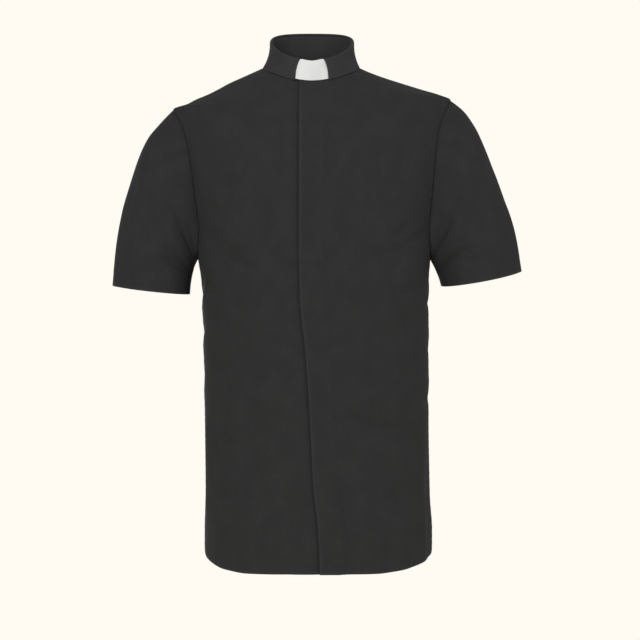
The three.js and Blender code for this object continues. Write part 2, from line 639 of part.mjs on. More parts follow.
// A sleeve, from the armhole to its turned hem.
function sleeve(name) {
  const arm = ARMS[name];
  const turns = [
    ...frontTurns().slice(0, -1),
    ...topTurns(arm).slice(0, -1),
    ...backTurns(arm).slice(0, -1),
  ];
  const { outZ, outX } = sleeveLines[name];
  const length = Math.hypot(outX(1) - outX(0), outZ(1) - outZ(0));
  const hemTop = 1 - HEM.sleeveDeep / length;
  const hemEdge = hemTop - HEM.step / length;
  const rings = [
    ...shares(STEPS.sleeve).map((share) => ({ t: share * hemEdge, thick: CLOTH })),
    { t: hemTop, thick: HEM.thick },
    { t: 1, thick: HEM.thick },
  ];
  const outer = turns.map((turn) => rings.map(({ t }) => sleevePoint(name, turn, t)));
  const inner = outer.map((line, i) =>
    line.map((point, j) => {
      const inward = sleeveOutward(name, turns[i], rings[j].t).negate();
      return point.clone().addScaledVector(inward, rings[j].thick);
    }),
  );
  turns.forEach((turn, i) => {
    const { sleeve: cut, outward } = armholeCut(name, turn);
    const along = outer[i][1].clone().sub(outer[i][0]).normalize();
    outer[i][0].addScaledVector(along, SEAM_GAP / 2).addScaledVector(outward, SEAM_GAP / 2);
    inner[i][0].copy(outer[i][0]).addScaledVector(cut, CLOTH);
  });
  return wall(outer, inner, true);
}

// A point of the collar's outer face: v is 0 on the neck seam and 1 at the top. It flares at its foot.
function collarPoint(angle, v) {
  const foot = bodyPoint(angle, neckZ(angle));
  const reach = 1 + COLLAR.flare / Math.hypot(foot.x, foot.y);
  const s = Math.sin(angle);
  const side = Math.cos(angle) < 0 ? COLLAR_TOP.right : COLLAR_TOP.left;
  const top = new THREE.Vector3(
    side * Math.cos(angle),
    COLLAR_TOP.centreY + COLLAR_TOP.deep * s,
    COLLAR_TOP.side + COLLAR_TOP.tilt * s - COLLAR_TOP.dip * s * s,
  );
  const upright = 1 - (1 - clamp01(v)) ** COLLAR.curve;
  return new THREE.Vector3(
    mix(foot.x * reach, top.x, upright),
    mix(foot.y * reach, top.y, upright),
    mix(foot.z + COLLAR.seat, top.z, v),
  );
}
// The same point moved in, level, by a depth.
function insideCollar(angle, v, depth) {
  const outward = squareTo(collarPoint, angle, withinEnds(v), PROBE.share, PROBE.share);
  return collarPoint(angle, v).addScaledVector(outward.setZ(0).normalize(), -depth);
}
// The height of the body's cloth under a point beside the neck.
function clothUnder({ x, y, z }) {
  const reach = Math.hypot(x, y);
  const isInside = (height) => {
    const cloth = bodyPoint(Math.atan2(y, x), height);
    return Math.hypot(cloth.x, cloth.y) < reach;
  };
  return solve(z - COLLAR.search, z + COLLAR.search, isInside);
}
// A point of a collar layer whose foot is drawn down until its inner face rests on the body's cloth.
function restingCollar(angle, v, depth, innerDepth) {
  const foot = insideCollar(angle, 0, innerDepth);
  const drop = THREE.MathUtils.clamp(foot.z - clothUnder(foot) - COLLAR.rest, 0, COLLAR.mostDrop);
  const point = insideCollar(angle, v, depth);
  return point.setZ(point.z - drop * (1 - v) ** 2);
}
const collarAngleAtX = (x, v) =>
  solve(radians(COLLAR_FRONT.from), radians(COLLAR_FRONT.to), (angle) => collarPoint(angle, v).x > x);

// The turned-down layer, round the back from one side of the front gap to the other.
function collarFall() {
  const gap = (v) => TAB_GAP.bottom - TAB_GAP.narrows * v + TAB_GAP.bulge * v * (1 - v);
  const face = (side) =>
    shares(STEPS.fall).map((s) =>
      FALL_ROWS.map((row) => {
        const from = collarAngleAtX(gap(row.v), row.v);
        const to = collarAngleAtX(-gap(row.v), row.v) + FULL_TURN;
        return restingCollar(mix(from, to, s), row.v, row[side], FALL_ROWS[0].inner);
      }),
    );
  return wall(face("outer"), face("inner"));
}

// The stand, a band whose right end goes under its left end behind the tab.
function collarStand() {
  const turnTo = radians(STAND.lapTurn);
  const from = FRONT_TURN - turnTo;
  const to = FRONT_TURN + turnTo + FULL_TURN;
  const face = (thick) =>
    shares(STEPS.stand).map((s) => {
      const angle = mix(from, to, s);
      const past = (angle - (to - 2 * turnTo - radians(STAND.ramp))) / radians(STAND.ramp);
      const depth = STAND.outer + STAND.lapDepth * smooth(past) + thick;
      return shares(STEPS.standRows).map((row) => insideCollar(angle, row * STAND.top, depth));
    });
  return wall(face(0), face(STAND.thick));
}

// The white tab, slid in between stand and turned-down layer. It reaches the collar's top only in the gap.
function collarTab() {
  const shown = shares(STEPS.tab).map((s) => collarAngleAtX(mix(-TAB.shownHalf, TAB.shownHalf, s), 1));
  const hidden = (sign) => [
    { angle: FRONT_TURN + sign * radians(TAB.endTurn), top: TAB.endTop },
    { angle: FRONT_TURN + sign * radians(TAB.middleTurn), top: TAB.endTop },
    { angle: collarAngleAtX(sign * (TAB.shownHalf + TAB.step), 1), top: TAB.endTop },
  ];
  const columns = [
    ...hidden(-1),
    ...shown.map((angle) => ({ angle, top: 1 })),
    ...hidden(1).reverse(),
  ];
  const face = (depth) =>
    columns.map(({ angle, top }) =>
      shares(STEPS.tabRows).map((v) => restingCollar(angle, v * top, depth, TAB.outer + TAB.thick)),
    );
  return wall(face(TAB.outer), face(TAB.outer + TAB.thick));
}

// A sewn-through button: a disc with a raised rim, lying on the right front under the lap.
function placeButton(mesh, z) {
  const angle = angleAtX(openingLine(z), z);
  const outward = bodyOutward(angle, z);
  const base = LAP.right[0].lift + BUTTONS.seat;
  mesh.position.copy(bodyPoint(angle, z)).addScaledVector(outward, base);
  mesh.quaternion.setFromUnitVectors(new THREE.Vector3(0, 1, 0), outward);
  return mesh;
}
function buttonGeometry() {
  const { radius, thick, rim, round, slope, dish } = BUTTON;
  const profile = [
    [0, 0],
    [radius - round, 0],
    [radius, round],
    [radius, thick - round],
    [radius - slope, thick],
    [radius - rim, thick],
    [radius - rim - slope, thick - dish],
    [0, thick - dish],
  ].map(([x, y]) => new THREE.Vector2(x, y));
  return new THREE.LatheGeometry(profile, STEPS.buttonSides);
}

const shirt = new THREE.Group();
function addPiece(name, geometry, finish) {
  const mesh = new THREE.Mesh(geometry, new THREE.MeshStandardMaterial(finish));
  mesh.name = name;
  shirt.add(mesh);
  return mesh;
}

addPiece("right_front", frontPanel("right"), CLOTH_FINISH);
addPiece("left_front", frontPanel("left"), CLOTH_FINISH);
addPiece("back", backPanel(), CLOTH_FINISH);
addPiece("yoke", yokePanel(), CLOTH_FINISH);
addPiece("right_sleeve", sleeve("right"), CLOTH_FINISH);
addPiece("left_sleeve", sleeve("left"), CLOTH_FINISH);
addPiece("collar_stand", collarStand(), COLLAR_FINISH);
addPiece("collar_fall", collarFall(), COLLAR_FINISH);
addPiece("collar_tab", collarTab(), TAB_FINISH);
for (let i = 0; i < BUTTONS.count; i++) {
  const button = addPiece(`button_${i + 1}`, buttonGeometry(), BUTTON_FINISH);
  placeButton(button, BUTTONS.top - i * BUTTONS.pitch);
}

export default shirt;
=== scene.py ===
"""A man's black short-sleeved clergy shirt with a tab collar, in the hollow shape that it has when worn.

Shapes are worked out in millimetres and put into meshes in metres. +Z is up, the front faces -Y, and +X is
the wearer's left. The origin is the centre of the neck, at the height where the yoke bears on the shoulders.
"""

import bpy
import bmesh
import numpy as np
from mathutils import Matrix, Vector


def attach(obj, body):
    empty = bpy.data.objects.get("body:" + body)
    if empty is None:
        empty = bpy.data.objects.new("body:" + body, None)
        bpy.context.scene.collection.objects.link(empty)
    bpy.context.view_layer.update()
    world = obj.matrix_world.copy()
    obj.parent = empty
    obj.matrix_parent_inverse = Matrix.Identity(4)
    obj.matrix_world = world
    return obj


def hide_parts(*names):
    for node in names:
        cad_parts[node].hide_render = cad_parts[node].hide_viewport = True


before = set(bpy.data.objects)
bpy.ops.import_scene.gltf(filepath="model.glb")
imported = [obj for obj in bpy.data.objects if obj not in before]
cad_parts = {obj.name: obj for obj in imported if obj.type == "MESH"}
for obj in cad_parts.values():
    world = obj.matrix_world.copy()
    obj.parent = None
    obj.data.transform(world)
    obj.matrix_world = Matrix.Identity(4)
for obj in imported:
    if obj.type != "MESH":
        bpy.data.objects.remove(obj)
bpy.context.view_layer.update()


# The studio. A pale cream floor fades into a pale cream surround, and wide lamps light the shirt softly.
# The camera stands level, 3.2 m in front of the neck's centre.
METRE = 1000.0
CREAM = (1.0, 0.965, 0.896)
LIGHT_CREAM = (1.0, 0.985, 0.96)
FLOOR = {"height": -1300.0, "reach": 2000.0, "solid": 500.0, "clear": 1940.0, "steps": 41}
SURROUND = {"seen": 1.0, "lighting": 0.46}
CAMERA = {"place": (0.0128, -3.2, -0.397), "target": (0.0128, 0.0, -0.397), "lens": 112.5, "sensor": 36.0}
LAMPS = (
    # name, place, aimed at, size, power
    ("front_lamp", (-1.3, -2.8, 0.6), (0.0, 0.0, -0.35), 1.8, 47.0),
    ("side_lamp", (2.1, -1.9, 0.5), (0.0, 0.0, -0.35), 1.6, 21.0),
    ("top_lamp", (0.1, 0.3, 1.9), (0.0, 0.0, -0.1), 1.6, 0.8),
    ("back_lamp", (-0.6, 2.7, -0.2), (0.0, 0.0, -0.4), 1.8, 28.0),
)


def grid_faces(columns, rows):
    """The quads of a grid whose points are stored column by column: point (i, j) has number i * rows + j."""
    i, j = np.meshgrid(np.arange(columns - 1), np.arange(rows - 1), indexing="ij")
    first = (i * rows + j).ravel()
    return np.stack([first, first + rows, first + rows + 1, first + 1], axis=1)


def mesh_object(name, points, faces):
    """An object at the origin with these points, given in millimetres, and these faces of four corners."""
    mesh = bpy.data.meshes.new(name)
    mesh.vertices.add(len(points))
    mesh.vertices.foreach_set("co", (points / METRE).astype(np.float32).ravel())
    mesh.loops.add(faces.size)
    mesh.loops.foreach_set("vertex_index", faces.astype(np.int32).ravel())
    mesh.polygons.add(len(faces))
    mesh.polygons.foreach_set("loop_start", np.arange(0, faces.size, 4, dtype=np.int32))
    mesh.update(calc_edges=True)
    mesh.validate()
    mesh.shade_smooth()
    made = bpy.data.objects.new(name, mesh)
    bpy.context.scene.collection.objects.link(made)
    return made


def new_shader(name):
    """A new material with its nodes and its Principled shader."""
    material = bpy.data.materials.new(name)
    material.use_nodes = True
    return material, material.node_tree, material.node_tree.nodes["Principled BSDF"]


def level_floor():
    """A level square: x and y run evenly from -reach to reach, at one height."""
    line = np.linspace(-FLOOR["reach"], FLOOR["reach"], FLOOR["steps"])
    x, y = np.meshgrid(line, line, indexing="ij")
    points = np.stack([x, y, np.full_like(x, FLOOR["height"])], axis=-1).reshape(-1, 3)
    return mesh_object("studio_floor", points, grid_faces(*x.shape))


def floor_paper():
    """Cream paper that fades out with distance from the floor's middle, and is clear from beneath."""
    material, tree, shader = new_shader("cream_paper")
    nodes, links = tree.nodes, tree.links
    shader.inputs["Base Color"].default_value = (*CREAM, 1)
    shader.inputs["Roughness"].default_value = 0.9
    shader.inputs["Specular IOR Level"].default_value = 0.1
    place = nodes.new("ShaderNodeTexCoord")
    flat = nodes.new("ShaderNodeVectorMath")
    flat.operation = "MULTIPLY"
    flat.inputs[1].default_value = (1, 1, 0)
    distance = nodes.new("ShaderNodeVectorMath")
    distance.operation = "LENGTH"
    fade = nodes.new("ShaderNodeMapRange")
    fade.interpolation_type = "SMOOTHSTEP"
    fade.inputs["From Min"].default_value = FLOOR["solid"] / METRE
    fade.inputs["From Max"].default_value = FLOOR["clear"] / METRE
    side = nodes.new("ShaderNodeNewGeometry")
    clearness = nodes.new("ShaderNodeMath")
    clearness.operation = "MAXIMUM"
    clear = nodes.new("ShaderNodeBsdfTransparent")
    blend = nodes.new("ShaderNodeMixShader")
    links.new(place.outputs["Object"], flat.inputs[0])
    links.new(flat.outputs["Vector"], distance.inputs[0])
    links.new(distance.outputs["Value"], fade.inputs["Value"])
    links.new(fade.outputs["Result"], clearness.inputs[0])
    links.new(side.outputs["Backfacing"], clearness.inputs[1])
    links.new(clearness.outputs["Value"], blend.inputs["Fac"])
    links.new(shader.outputs["BSDF"], blend.inputs[1])
    links.new(clear.outputs["BSDF"], blend.inputs[2])
    links.new(blend.outputs["Shader"], nodes["Material Output"].inputs["Surface"])
    return material


def studio_surround():
    """A cream surround, bright to the camera and dimmer as a light, so that the shirt keeps its shading."""
    world = bpy.data.worlds.new("cream_surround")
    world.use_nodes = True
    nodes, links = world.node_tree.nodes, world.node_tree.links
    lighting = nodes["Background"]
    lighting.inputs["Color"].default_value = (*LIGHT_CREAM, 1)
    lighting.inputs["Strength"].default_value = SURROUND["lighting"]
    seen = nodes.new("ShaderNodeBackground")
    seen.inputs["Color"].default_value = (*CREAM, 1)
    seen.inputs["Strength"].default_value = SURROUND["seen"]
    ray = nodes.new("ShaderNodeLightPath")
    blend = nodes.new("ShaderNodeMixShader")
    links.new(ray.outputs["Is Camera Ray"], blend.inputs["Fac"])
    links.new(lighting.outputs["Background"], blend.inputs[1])
    links.new(seen.outputs["Background"], blend.inputs[2])
    links.new(blend.outputs["Shader"], nodes["World Output"].inputs["Surface"])
    bpy.context.scene.world = world


def aimed(thing, place, target):
    """Puts a lamp or camera at a place and turns it towards a target."""
    thing.location = place
    direction = Vector(target) - Vector(place)
    thing.rotation_euler = direction.to_track_quat("-Z", "Y").to_euler()
    bpy.context.scene.collection.objects.link(thing)


studio_floor = level_floor()
studio_floor.data.materials.append(floor_paper())
studio_surround()
for lamp_name, lamp_place, lamp_target, lamp_size, lamp_power in LAMPS:
    lamp = bpy.data.lights.new(lamp_name, "AREA")
    lamp.shape = "DISK"
    lamp.size = lamp_size
    lamp.energy = lamp_power
    lamp_object = bpy.data.objects.new(lamp_name, lamp)
    lamp_object.visible_camera = False
    aimed(lamp_object, lamp_place, lamp_target)
camera = bpy.data.cameras.new("camera")
camera.lens = CAMERA["lens"]
camera.sensor_width = CAMERA["sensor"]
camera_object = bpy.data.objects.new("camera", camera)
aimed(camera_object, CAMERA["place"], CAMERA["target"])
bpy.context.scene.camera = camera_object
bpy.context.scene.view_settings.view_transform = "Standard"


# The right and left front, of black plain-woven poly-cotton, sewn to the yoke, the back and a sleeve. The
# left one laps over the right one as a fly: its free edge and both hems are turned in and stitched. The
# body's whole form is given here, as the back, yoke, sleeves and collar start on it.
BODY_WIDTHS = {
    "z": (
        24, 15, 8, 5, 0, -10, -20, -30, -38, -46, -53,
        -61, -90, -150, -220, -297, -340, -540, -675, -730, -800,
    ),
    "right": (
        64, 66, 72, 79, 90, 112, 134, 152, 168, 187, 200,
        222, 217, 206, 192, 182, 176, 171, 169.5, 171, 171,
    ),
    "left": (
        62, 64, 69, 77, 88, 114, 145, 177, 204, 222, 222.5,
        223, 219, 210, 198, 189, 186, 186, 188, 191.5, 191,
    ),
}
BODY_DEPTHS = {
    "z": (24, 15, 8, 0, -10, -20, -40, -60, -100, -150, -210, -297, -450, -600, -800),
    "front": (22, 26, 31, 39, 50, 58, 74, 87, 105, 118, 124, 122, 117, 116, 119),
    "back": (55, 68, 77, 85, 93, 99, 108, 114, 122, 127, 127, 122, 114, 115, 121),
    "square": (2, 2, 2, 2, 2, 2, 2.05, 2.1, 2.2, 2.35, 2.45, 2.5, 2.45, 2.4, 2.4),
}
FOLD_END = 60.0
FOLDS = (
    # face, x and z where it starts, x and z where it ends, width, depth
    ("front", -158, -290, -150, -560, 20, -5),
    ("front", -36, -250, -26, -410, 20, -3),
    ("front", -106, -430, -102, -660, 20, -4),
    ("front", -68, -300, -62, -600, 24, 2.5),
    ("front", 50, -552, 178, -585, 22, -5),
    ("front", 100, -400, 108, -520, 20, -3.5),
    ("front", 152, -330, 158, -540, 20, -4),
    ("front", 176, -240, 108, -330, 20, -4),
    ("front", -176, -240, -112, -325, 20, -4.5),
    ("front", 78, -680, 84, -800, 26, 3),
    ("front", -86, -690, -92, -800, 26, 3),
    ("back", -122, -150, -92, -620, 24, -5),
    ("back", 122, -150, 100, -640, 24, -5),
    ("back", -34, -330, -44, -740, 24, -4),
    ("back", 42, -300, 54, -760, 24, -4),
    ("back", 2, -420, 6, -800, 24, 3.5),
)
CREASE_END = 34.0
CREASE_FADE = {"faces": 2.5, "sides": 2.2, "sides_from": 1.0}
LIP = {"share": 0.4, "place": 1.7, "narrow": 0.8}
CREASES = (
    # face, x (y on a side) and z where it starts, the same where it ends, width, depth, bow to one side
    ("front", -172, -262, -92, -318, 8, -2.4, 8),
    ("front", -160, -228, -104, -262, 7, -1.6, 6),
    ("front", -150, -300, -120, -392, 9, -2.0, -8),
    ("front", -128, -118, -112, -214, 11, 1.8, 6),
    ("front", -88, -84, -60, -196, 10, -1.4, 8),
    ("front", -140, -150, -128, -214, 8, -1.3, -4),
    ("front", 178, -258, 104, -300, 7, -2.2, -7),
    ("front", 160, -232, 118, -282, 8, -1.5, -5),
    ("front", 148, -296, 128, -372, 9, -1.8, 7),
    ("front", 122, -110, 104, -206, 12, 1.6, -7),
    ("front", 84, -92, 62, -176, 9, -1.4, -6),
    ("front", 146, -140, 134, -200, 7, -1.2, 4),
    ("front", 28, -196, 62, -214, 6, -1.0, 3),
    ("front", 30, -306, 74, -330, 7, -1.4, 4),
    ("front", -30, -262, -70, -300, 6, -1.1, -4),
    ("front", -28, -352, -62, -420, 8, -1.6, 6),
    ("front", 40, -428, 76, -470, 7, -1.3, -5),
    ("front", -12, -470, -46, -520, 7, -1.2, 4),
    ("front", -150, -470, -88, -492, 9, -1.9, -8),
    ("front", -120, -602, -66, -590, 9, -1.8, 5),
    ("front", -156, -566, -112, -640, 9, -1.6, 8),
    ("front", 64, -546, 150, -568, 8, -2.0, 7),
    ("front", 60, -662, 124, -668, 7, -1.8, -4),
    ("front", 150, -452, 164, -520, 9, -1.6, 5),
    ("front", 92, -436, 108, -500, 7, -1.5, 4),
    ("front", -132, -676, -138, -810, 11, 2.0, 5),
    ("front", -46, -700, -40, -810, 12, -1.8, -5),
    ("front", 62, -716, 68, -810, 10, -1.6, 4),
    ("front", 132, -690, 140, -810, 12, 2.0, -6),
    ("back", -165, -250, -110, -330, 9, -2.2, 8),
    ("back", 165, -240, 104, -322, 8, -2.3, -8),
    ("back", -150, -180, -120, -250, 8, -1.5, 5),
    ("back", 148, -190, 122, -262, 8, -1.4, -5),
    ("back", -70, -130, -62, -290, 12, 1.8, 6),
    ("back", 66, -126, 74, -280, 11, 1.6, -6),
    ("back", -10, -150, -18, -320, 11, -1.3, 7),
    ("back", -120, -440, -40, -470, 9, -2.0, 8),
    ("back", 20, -456, 116, -430, 10, -2.2, -9),
    ("back", -90, -510, -6, -524, 8, -1.6, -6),
    ("back", 40, -520, 128, -538, 9, -1.7, 7),
    ("back", -60, -580, 30, -566, 8, -1.3, 5),
    ("back", -134, -610, -120, -810, 12, 2.0, 6),
    ("back", -78, -640, -84, -810, 11, -1.7, -5),
    ("back", 24, -650, 30, -810, 12, 1.6, 5),
    ("back", 96, -620, 108, -810, 11, -1.9, 7),
    ("back", 148, -600, 152, -810, 11, 1.7, -5),
    ("right", -40, -330, 34, -372, 9, -2.0, 8),
    ("right", -52, -402, 20, -436, 10, -1.7, -7),
    ("right", -10, -480, 44, -520, 9, -1.6, 6),
    ("right", -36, -560, -30, -700, 12, 2.2, 6),
    ("right", 32, -600, 38, -790, 12, -2.0, -6),
    ("left", 40, -326, -36, -380, 9, -2.1, -8),
    ("left", 50, -420, -14, -448, 9, -1.6, 7),
    ("left", 16, -500, -44, -534, 10, -1.7, -6),
    ("left", 34, -560, 30, -716, 12, 2.1, -6),
    ("left", -30, -610, -38, -790, 11, -1.9, 6),
)
LAP = {
    "left": {"across": (-19, 0, 17.5, 20.5), "lift": (1.9, 1.9, 1.9, 0), "turn": 32.0},
    "right": {"across": (17, -21, -27, -33), "lift": (-2.3, -2.3, -1.2, 0), "turn": 12.0},
}
LAP_TOP = {"from": -70, "to": -25, "kept": 0.2}
OPENING = {
    "z": (-20, -290, -365, -437, -573, -653, -717, -800),
    "x": (0, 0, 1.5, 9, 18, 22, 29, 33),
}
HEM = {
    "front": -789.0, "back": -798.0, "rise": 28.0, "rise_angle": 46.0, "rise_curve": 1.6,
    "deep": 10.0, "near": (0.0, 3.4, 6.8), "stitch": 9.0, "lines": 3,
}
PIT_HEIGHT = -297.0
ARMHOLE = {"front": 57.0, "back": 63.0, "scoop": 0.45, "scoop_rise": 1.5, "felled_from": 10.0}
SHOULDER_TIP = {"right": -61.0, "left": -46.0}
SIDE_SIGN = {"right": -1, "left": 1}
YOKE_FRONT = -32.0
NECK_SEAM = {"side": 8.0, "tilt": 22.5, "dip": 6.5, "lowest": -30.0}
CLOTH_THICK = 0.6
TURNED = {"radius": 0.7, "sight": 1.5, "angles": (50, 90, 130, 180)}
SEAM = {
    "tuck": 4.0, "neck_tuck": 1.6, "near": 0.5, "under": 0.9, "slope": 0.2, "dip": 0.45, "dip_wide": 3.0,
    "fell": 0.5, "fell_end": 9.0, "fell_step": 2.5, "fell_stitch": 6.5,
}
PUCKER = {"high": 0.22, "wave": 13.0, "fade": 8.0, "sways": ((1.9, 31.0), (1.1, 83.0))}
FLY = {"stitch": 35.0, "edge_stitch": 2.0, "ripple": 34.0, "edge_ripple": 0.5, "edge_wave": 1.3}
WORN = {"past_fold": 2.0, "fold_wide": 2.5, "edge_wide": 2.0, "yoke": 0.6}
FRONT_STEPS = {"lap": 3.0, "across": 58, "low": 128, "high": 78, "turned": 8}
SMALL_STEP = 0.02
HALVINGS = 40
STITCH = {
    "pitch": 3.0, "long": 2.3, "wide": 0.46, "rise": 0.16, "sink": 2.2, "tip": 0.0004, "trim": (2.0, 2.0),
    "rings": (-1, -0.62, 0, 0.62, 1), "corners": (45, 135, 225, 315),
}
THREAD = {"scale": 2600.0, "shades": (0.6, 1.6)}
THREAD_BLACK = (0.022, 0.022, 0.023)
CLOTH_BLACK = (0.0203, 0.0203, 0.0205)
WEAVE = {
    "threads": (6980.0, 6980.0, 1.0), "warp": (1300.0, 70.0, 1.0), "weft": (60.0, 1100.0, 1.0),
    "clouds": (34.0, 26.0, 1.0), "weave_high": 0.10, "slubs_high": 0.42, "relief": 0.0004,
    "slubs_tone": 0.30, "clouds_tone": 0.34, "worn_tone": 0.22, "span": (0.22, 0.80), "shades": (0.72, 1.38),
    "rough_span": (0.3, 0.8), "rougher": 0.06, "smoother": 0.08,
}


def smooth(value):
    """0 below 0, 1 above 1, and 3v^2 - 2v^3 between."""
    v = np.clip(value, 0, 1)
    return v * v * (3 - 2 * v)


def mix(a, b, share):
    """The value at a share of the way from a to b."""
    return a + (b - a) * share


def curve_through(table, by, column):
    """A smooth curve through one column of a table, by another. Each slope is the harmonic mean of the steps
    beside it, or 0 at a peak, so the curve never overshoots a row."""
    order = np.argsort(table[by])
    xs = np.array(table[by], float)[order]
    ys = np.array(table[column], float)[order]
    steps = np.diff(ys) / np.diff(xs)
    before = np.concatenate([steps[:1], steps])
    after = np.concatenate([steps, steps[-1:]])
    level = before * after <= 0
    slopes = np.where(level, 0, 2 * before * after / np.where(level, 1, before + after))

    def at(x):
        i = np.clip(np.searchsorted(xs, x, side="right") - 1, 0, len(steps) - 1)
        width = xs[i + 1] - xs[i]
        u = np.clip((x - xs[i]) / width, 0, 1)
        bend = (slopes[i] * (1 - u) - slopes[i + 1] * u) * u * (1 - u) * width
        return mix(ys[i], ys[i + 1], smooth(u)) + bend

    return at


right_reach = curve_through(BODY_WIDTHS, "z", "right")
left_reach = curve_through(BODY_WIDTHS, "z", "left")
front_reach = curve_through(BODY_DEPTHS, "z", "front")
back_reach = curve_through(BODY_DEPTHS, "z", "back")
squareness = curve_through(BODY_DEPTHS, "z", "square")
opening_line = curve_through(OPENING, "z", "x")


def crease_share(u, v, start, end, wide, fade, bow=0.0, lip=0.0):
    """How strongly a crease acts at a point of a plan: exp(-(across / wide)^2) beside its line, which bows
    sideways, and a smooth step at each end. A lip is a weaker ridge of the opposite kind along one side."""
    du, dv = end[0] - start[0], end[1] - start[1]
    length = np.hypot(du, dv)
    along = ((u - start[0]) * du + (v - start[1]) * dv) / length
    across = ((u - start[0]) * dv - (v - start[1]) * du) / length
    across = across - bow * 4 * (along / length) * (1 - along / length)
    ends = smooth(along / fade + 0.5) * smooth((length - along) / fade + 0.5)
    q = across / wide
    return ends * (np.exp(-q * q) - lip * np.exp(-LIP["narrow"] * (q - LIP["place"]) ** 2))


def body_creases(angle, x, y, z):
    """How far folds and creases move the body's cloth out. Those of the front and back fade towards the side
    seams, and those of the sides towards the front and back."""
    facing = smooth(np.abs(np.sin(angle)) * CREASE_FADE["faces"])
    sideways = smooth(np.abs(np.cos(angle)) * CREASE_FADE["sides"] - CREASE_FADE["sides_from"])
    faces = {
        "front": (x, facing * (y < 0)),
        "back": (x, facing * (y >= 0)),
        "right": (y, sideways * (x < 0)),
        "left": (y, sideways * (x >= 0)),
    }
    moved = np.zeros_like(x)
    for face, u1, z1, u2, z2, wide, deep in FOLDS:
        u, share = faces[face]
        moved += deep * share * crease_share(u, z, (u1, z1), (u2, z2), wide, FOLD_END)
    for face, u1, z1, u2, z2, wide, deep, bow in CREASES:
        u, share = faces[face]
        moved += deep * share * crease_share(u, z, (u1, z1), (u2, z2), wide, CREASE_END, bow, LIP["share"])
    return moved


def body_point(angle, z):
    """A point of the body's outer face. At a height z the body is a rounded box, |x/a|^p + |y/b|^p = 1,
    whose reaches a and b and squareness p come from tables. The angle is 0 at +X and 90 degrees behind."""
    angle, z = np.broadcast_arrays(np.asarray(angle, float), np.asarray(z, float))
    across, along = np.cos(angle), np.sin(angle)
    side = np.where(across < 0, right_reach(z), left_reach(z))
    depth = np.where(along < 0, front_reach(z), back_reach(z))
    power = squareness(z)
    reach = (np.abs(across / side) ** power + np.abs(along / depth) ** power) ** (-1 / power)
    reach = reach + body_creases(angle, reach * across, reach * along, z)
    return np.stack([reach * across, reach * along, z], axis=-1)


def unit(vectors):
    """The same vectors with a length of 1."""
    return vectors / np.linalg.norm(vectors, axis=-1, keepdims=True)


def square_to(surface, a, b, step_a, step_b):
    """The direction square to a surface: the cross product of its changes with each parameter."""
    along_a = surface(a + step_a, b) - surface(a - step_a, b)
    along_b = surface(a, b + step_b) - surface(a, b - step_b)
    return unit(np.cross(along_a, along_b))


def body_outward(angle, z):
    """The direction square to the body's cloth, outwards."""
    return square_to(body_point, angle, z, step_a=0.01, step_b=1.0)


def angle_at_x(x, z):
    """The direction of the front's point at x, from the rounded box without its folds."""
    side = np.where(x < 0, right_reach(z), left_reach(z))
    power = squareness(z)
    y = -front_reach(z) * (1 - np.abs(x / side) ** power) ** (1 / power)
    return np.arctan2(y, x)


def angle_at_y(sign, y, z):
    """The direction of one side's point at y, in turns from -90 to 90 degrees (left) or 90 to 270 degrees
    (right)."""
    side = right_reach(z) if sign < 0 else left_reach(z)
    depth = np.where(y < 0, front_reach(z), back_reach(z))
    power = squareness(z)
    x = sign * side * (1 - np.abs(y / depth) ** power) ** (1 / power)
    angle = np.arctan2(y, x)
    return np.where((angle < 0) & (sign < 0), angle + 2 * np.pi, angle)


def neck_height(angle):
    """Height of the neck seam: side + tilt * sin - dip * sin^2 of the direction."""
    s = np.sin(angle)
    return NECK_SEAM["side"] + NECK_SEAM["tilt"] * s - NECK_SEAM["dip"] * s * s


def hem_height(angle):
    """Height of the hem: level in front and behind, with a curved rise towards the side seams."""
    s = np.sin(angle)
    level = mix(HEM["front"], HEM["back"], smooth(s))
    from_side = np.degrees(np.arcsin(np.abs(np.clip(s, -1, 1))))
    rise = np.maximum(0, 1 - from_side / HEM["rise_angle"]) ** HEM["rise_curve"]
    return level + HEM["rise"] * rise


def armhole_spot(side, turn):
    """Direction and height of an armhole's point. The turn is -90 degrees at the armpit, 0 in front, 90 at
    the tip. Forward it reaches |cos|^k, where k falls from 1 in the lower half, which is scooped out wider
    than an oval."""
    z = mix(PIT_HEIGHT, SHOULDER_TIP[side], (1 + np.sin(turn)) / 2)
    forward = np.cos(turn)
    scooped = 1 - ARMHOLE["scoop"] * smooth(-ARMHOLE["scoop_rise"] * np.sin(turn))
    reach = np.where(forward > 0, ARMHOLE["front"], ARMHOLE["back"])
    y = -np.sign(forward) * np.abs(forward) ** scooped * reach
    return np.stack([angle_at_y(SIDE_SIGN[side], y, z), z], axis=-1)


YOKE_TURN = np.arccos(-YOKE_FRONT / ARMHOLE["front"])


def halved(low, high, is_past):
    """The value where a rising test turns true, found by halving the interval again and again."""
    low, high = np.broadcast_arrays(np.asarray(low, float), np.asarray(high, float))
    for _ in range(HALVINGS):
        middle = (low + high) / 2
        past = is_past(middle)
        low, high = np.where(past, low, middle), np.where(past, middle, high)
    return low


def yoke_seam_spot(side, share):
    """Direction and height along the front yoke seam, from its corner on the neck to the armhole."""
    sign = SIDE_SIGN[side]
    corner = halved(
        NECK_SEAM["lowest"], NECK_SEAM["side"], lambda z: z > neck_height(angle_at_y(sign, YOKE_FRONT, z))
    )
    z = mix(corner, armhole_spot(side, YOKE_TURN)[..., 1], share)
    return np.stack([angle_at_y(sign, YOKE_FRONT, z), z], axis=-1)


def between(low, high, start, end, s, t):
    """Spots inside four edges: the mean across plus the mean up, less the patch through the corners."""
    s, t = s[:, None, None], t[None, :, None]
    up = mix(low[:, None], high[:, None], t)
    across = mix(start[None], end[None], s)
    flat = mix(mix(low[0], low[-1], s), mix(high[0], high[-1], s), t)
    return up + across - flat


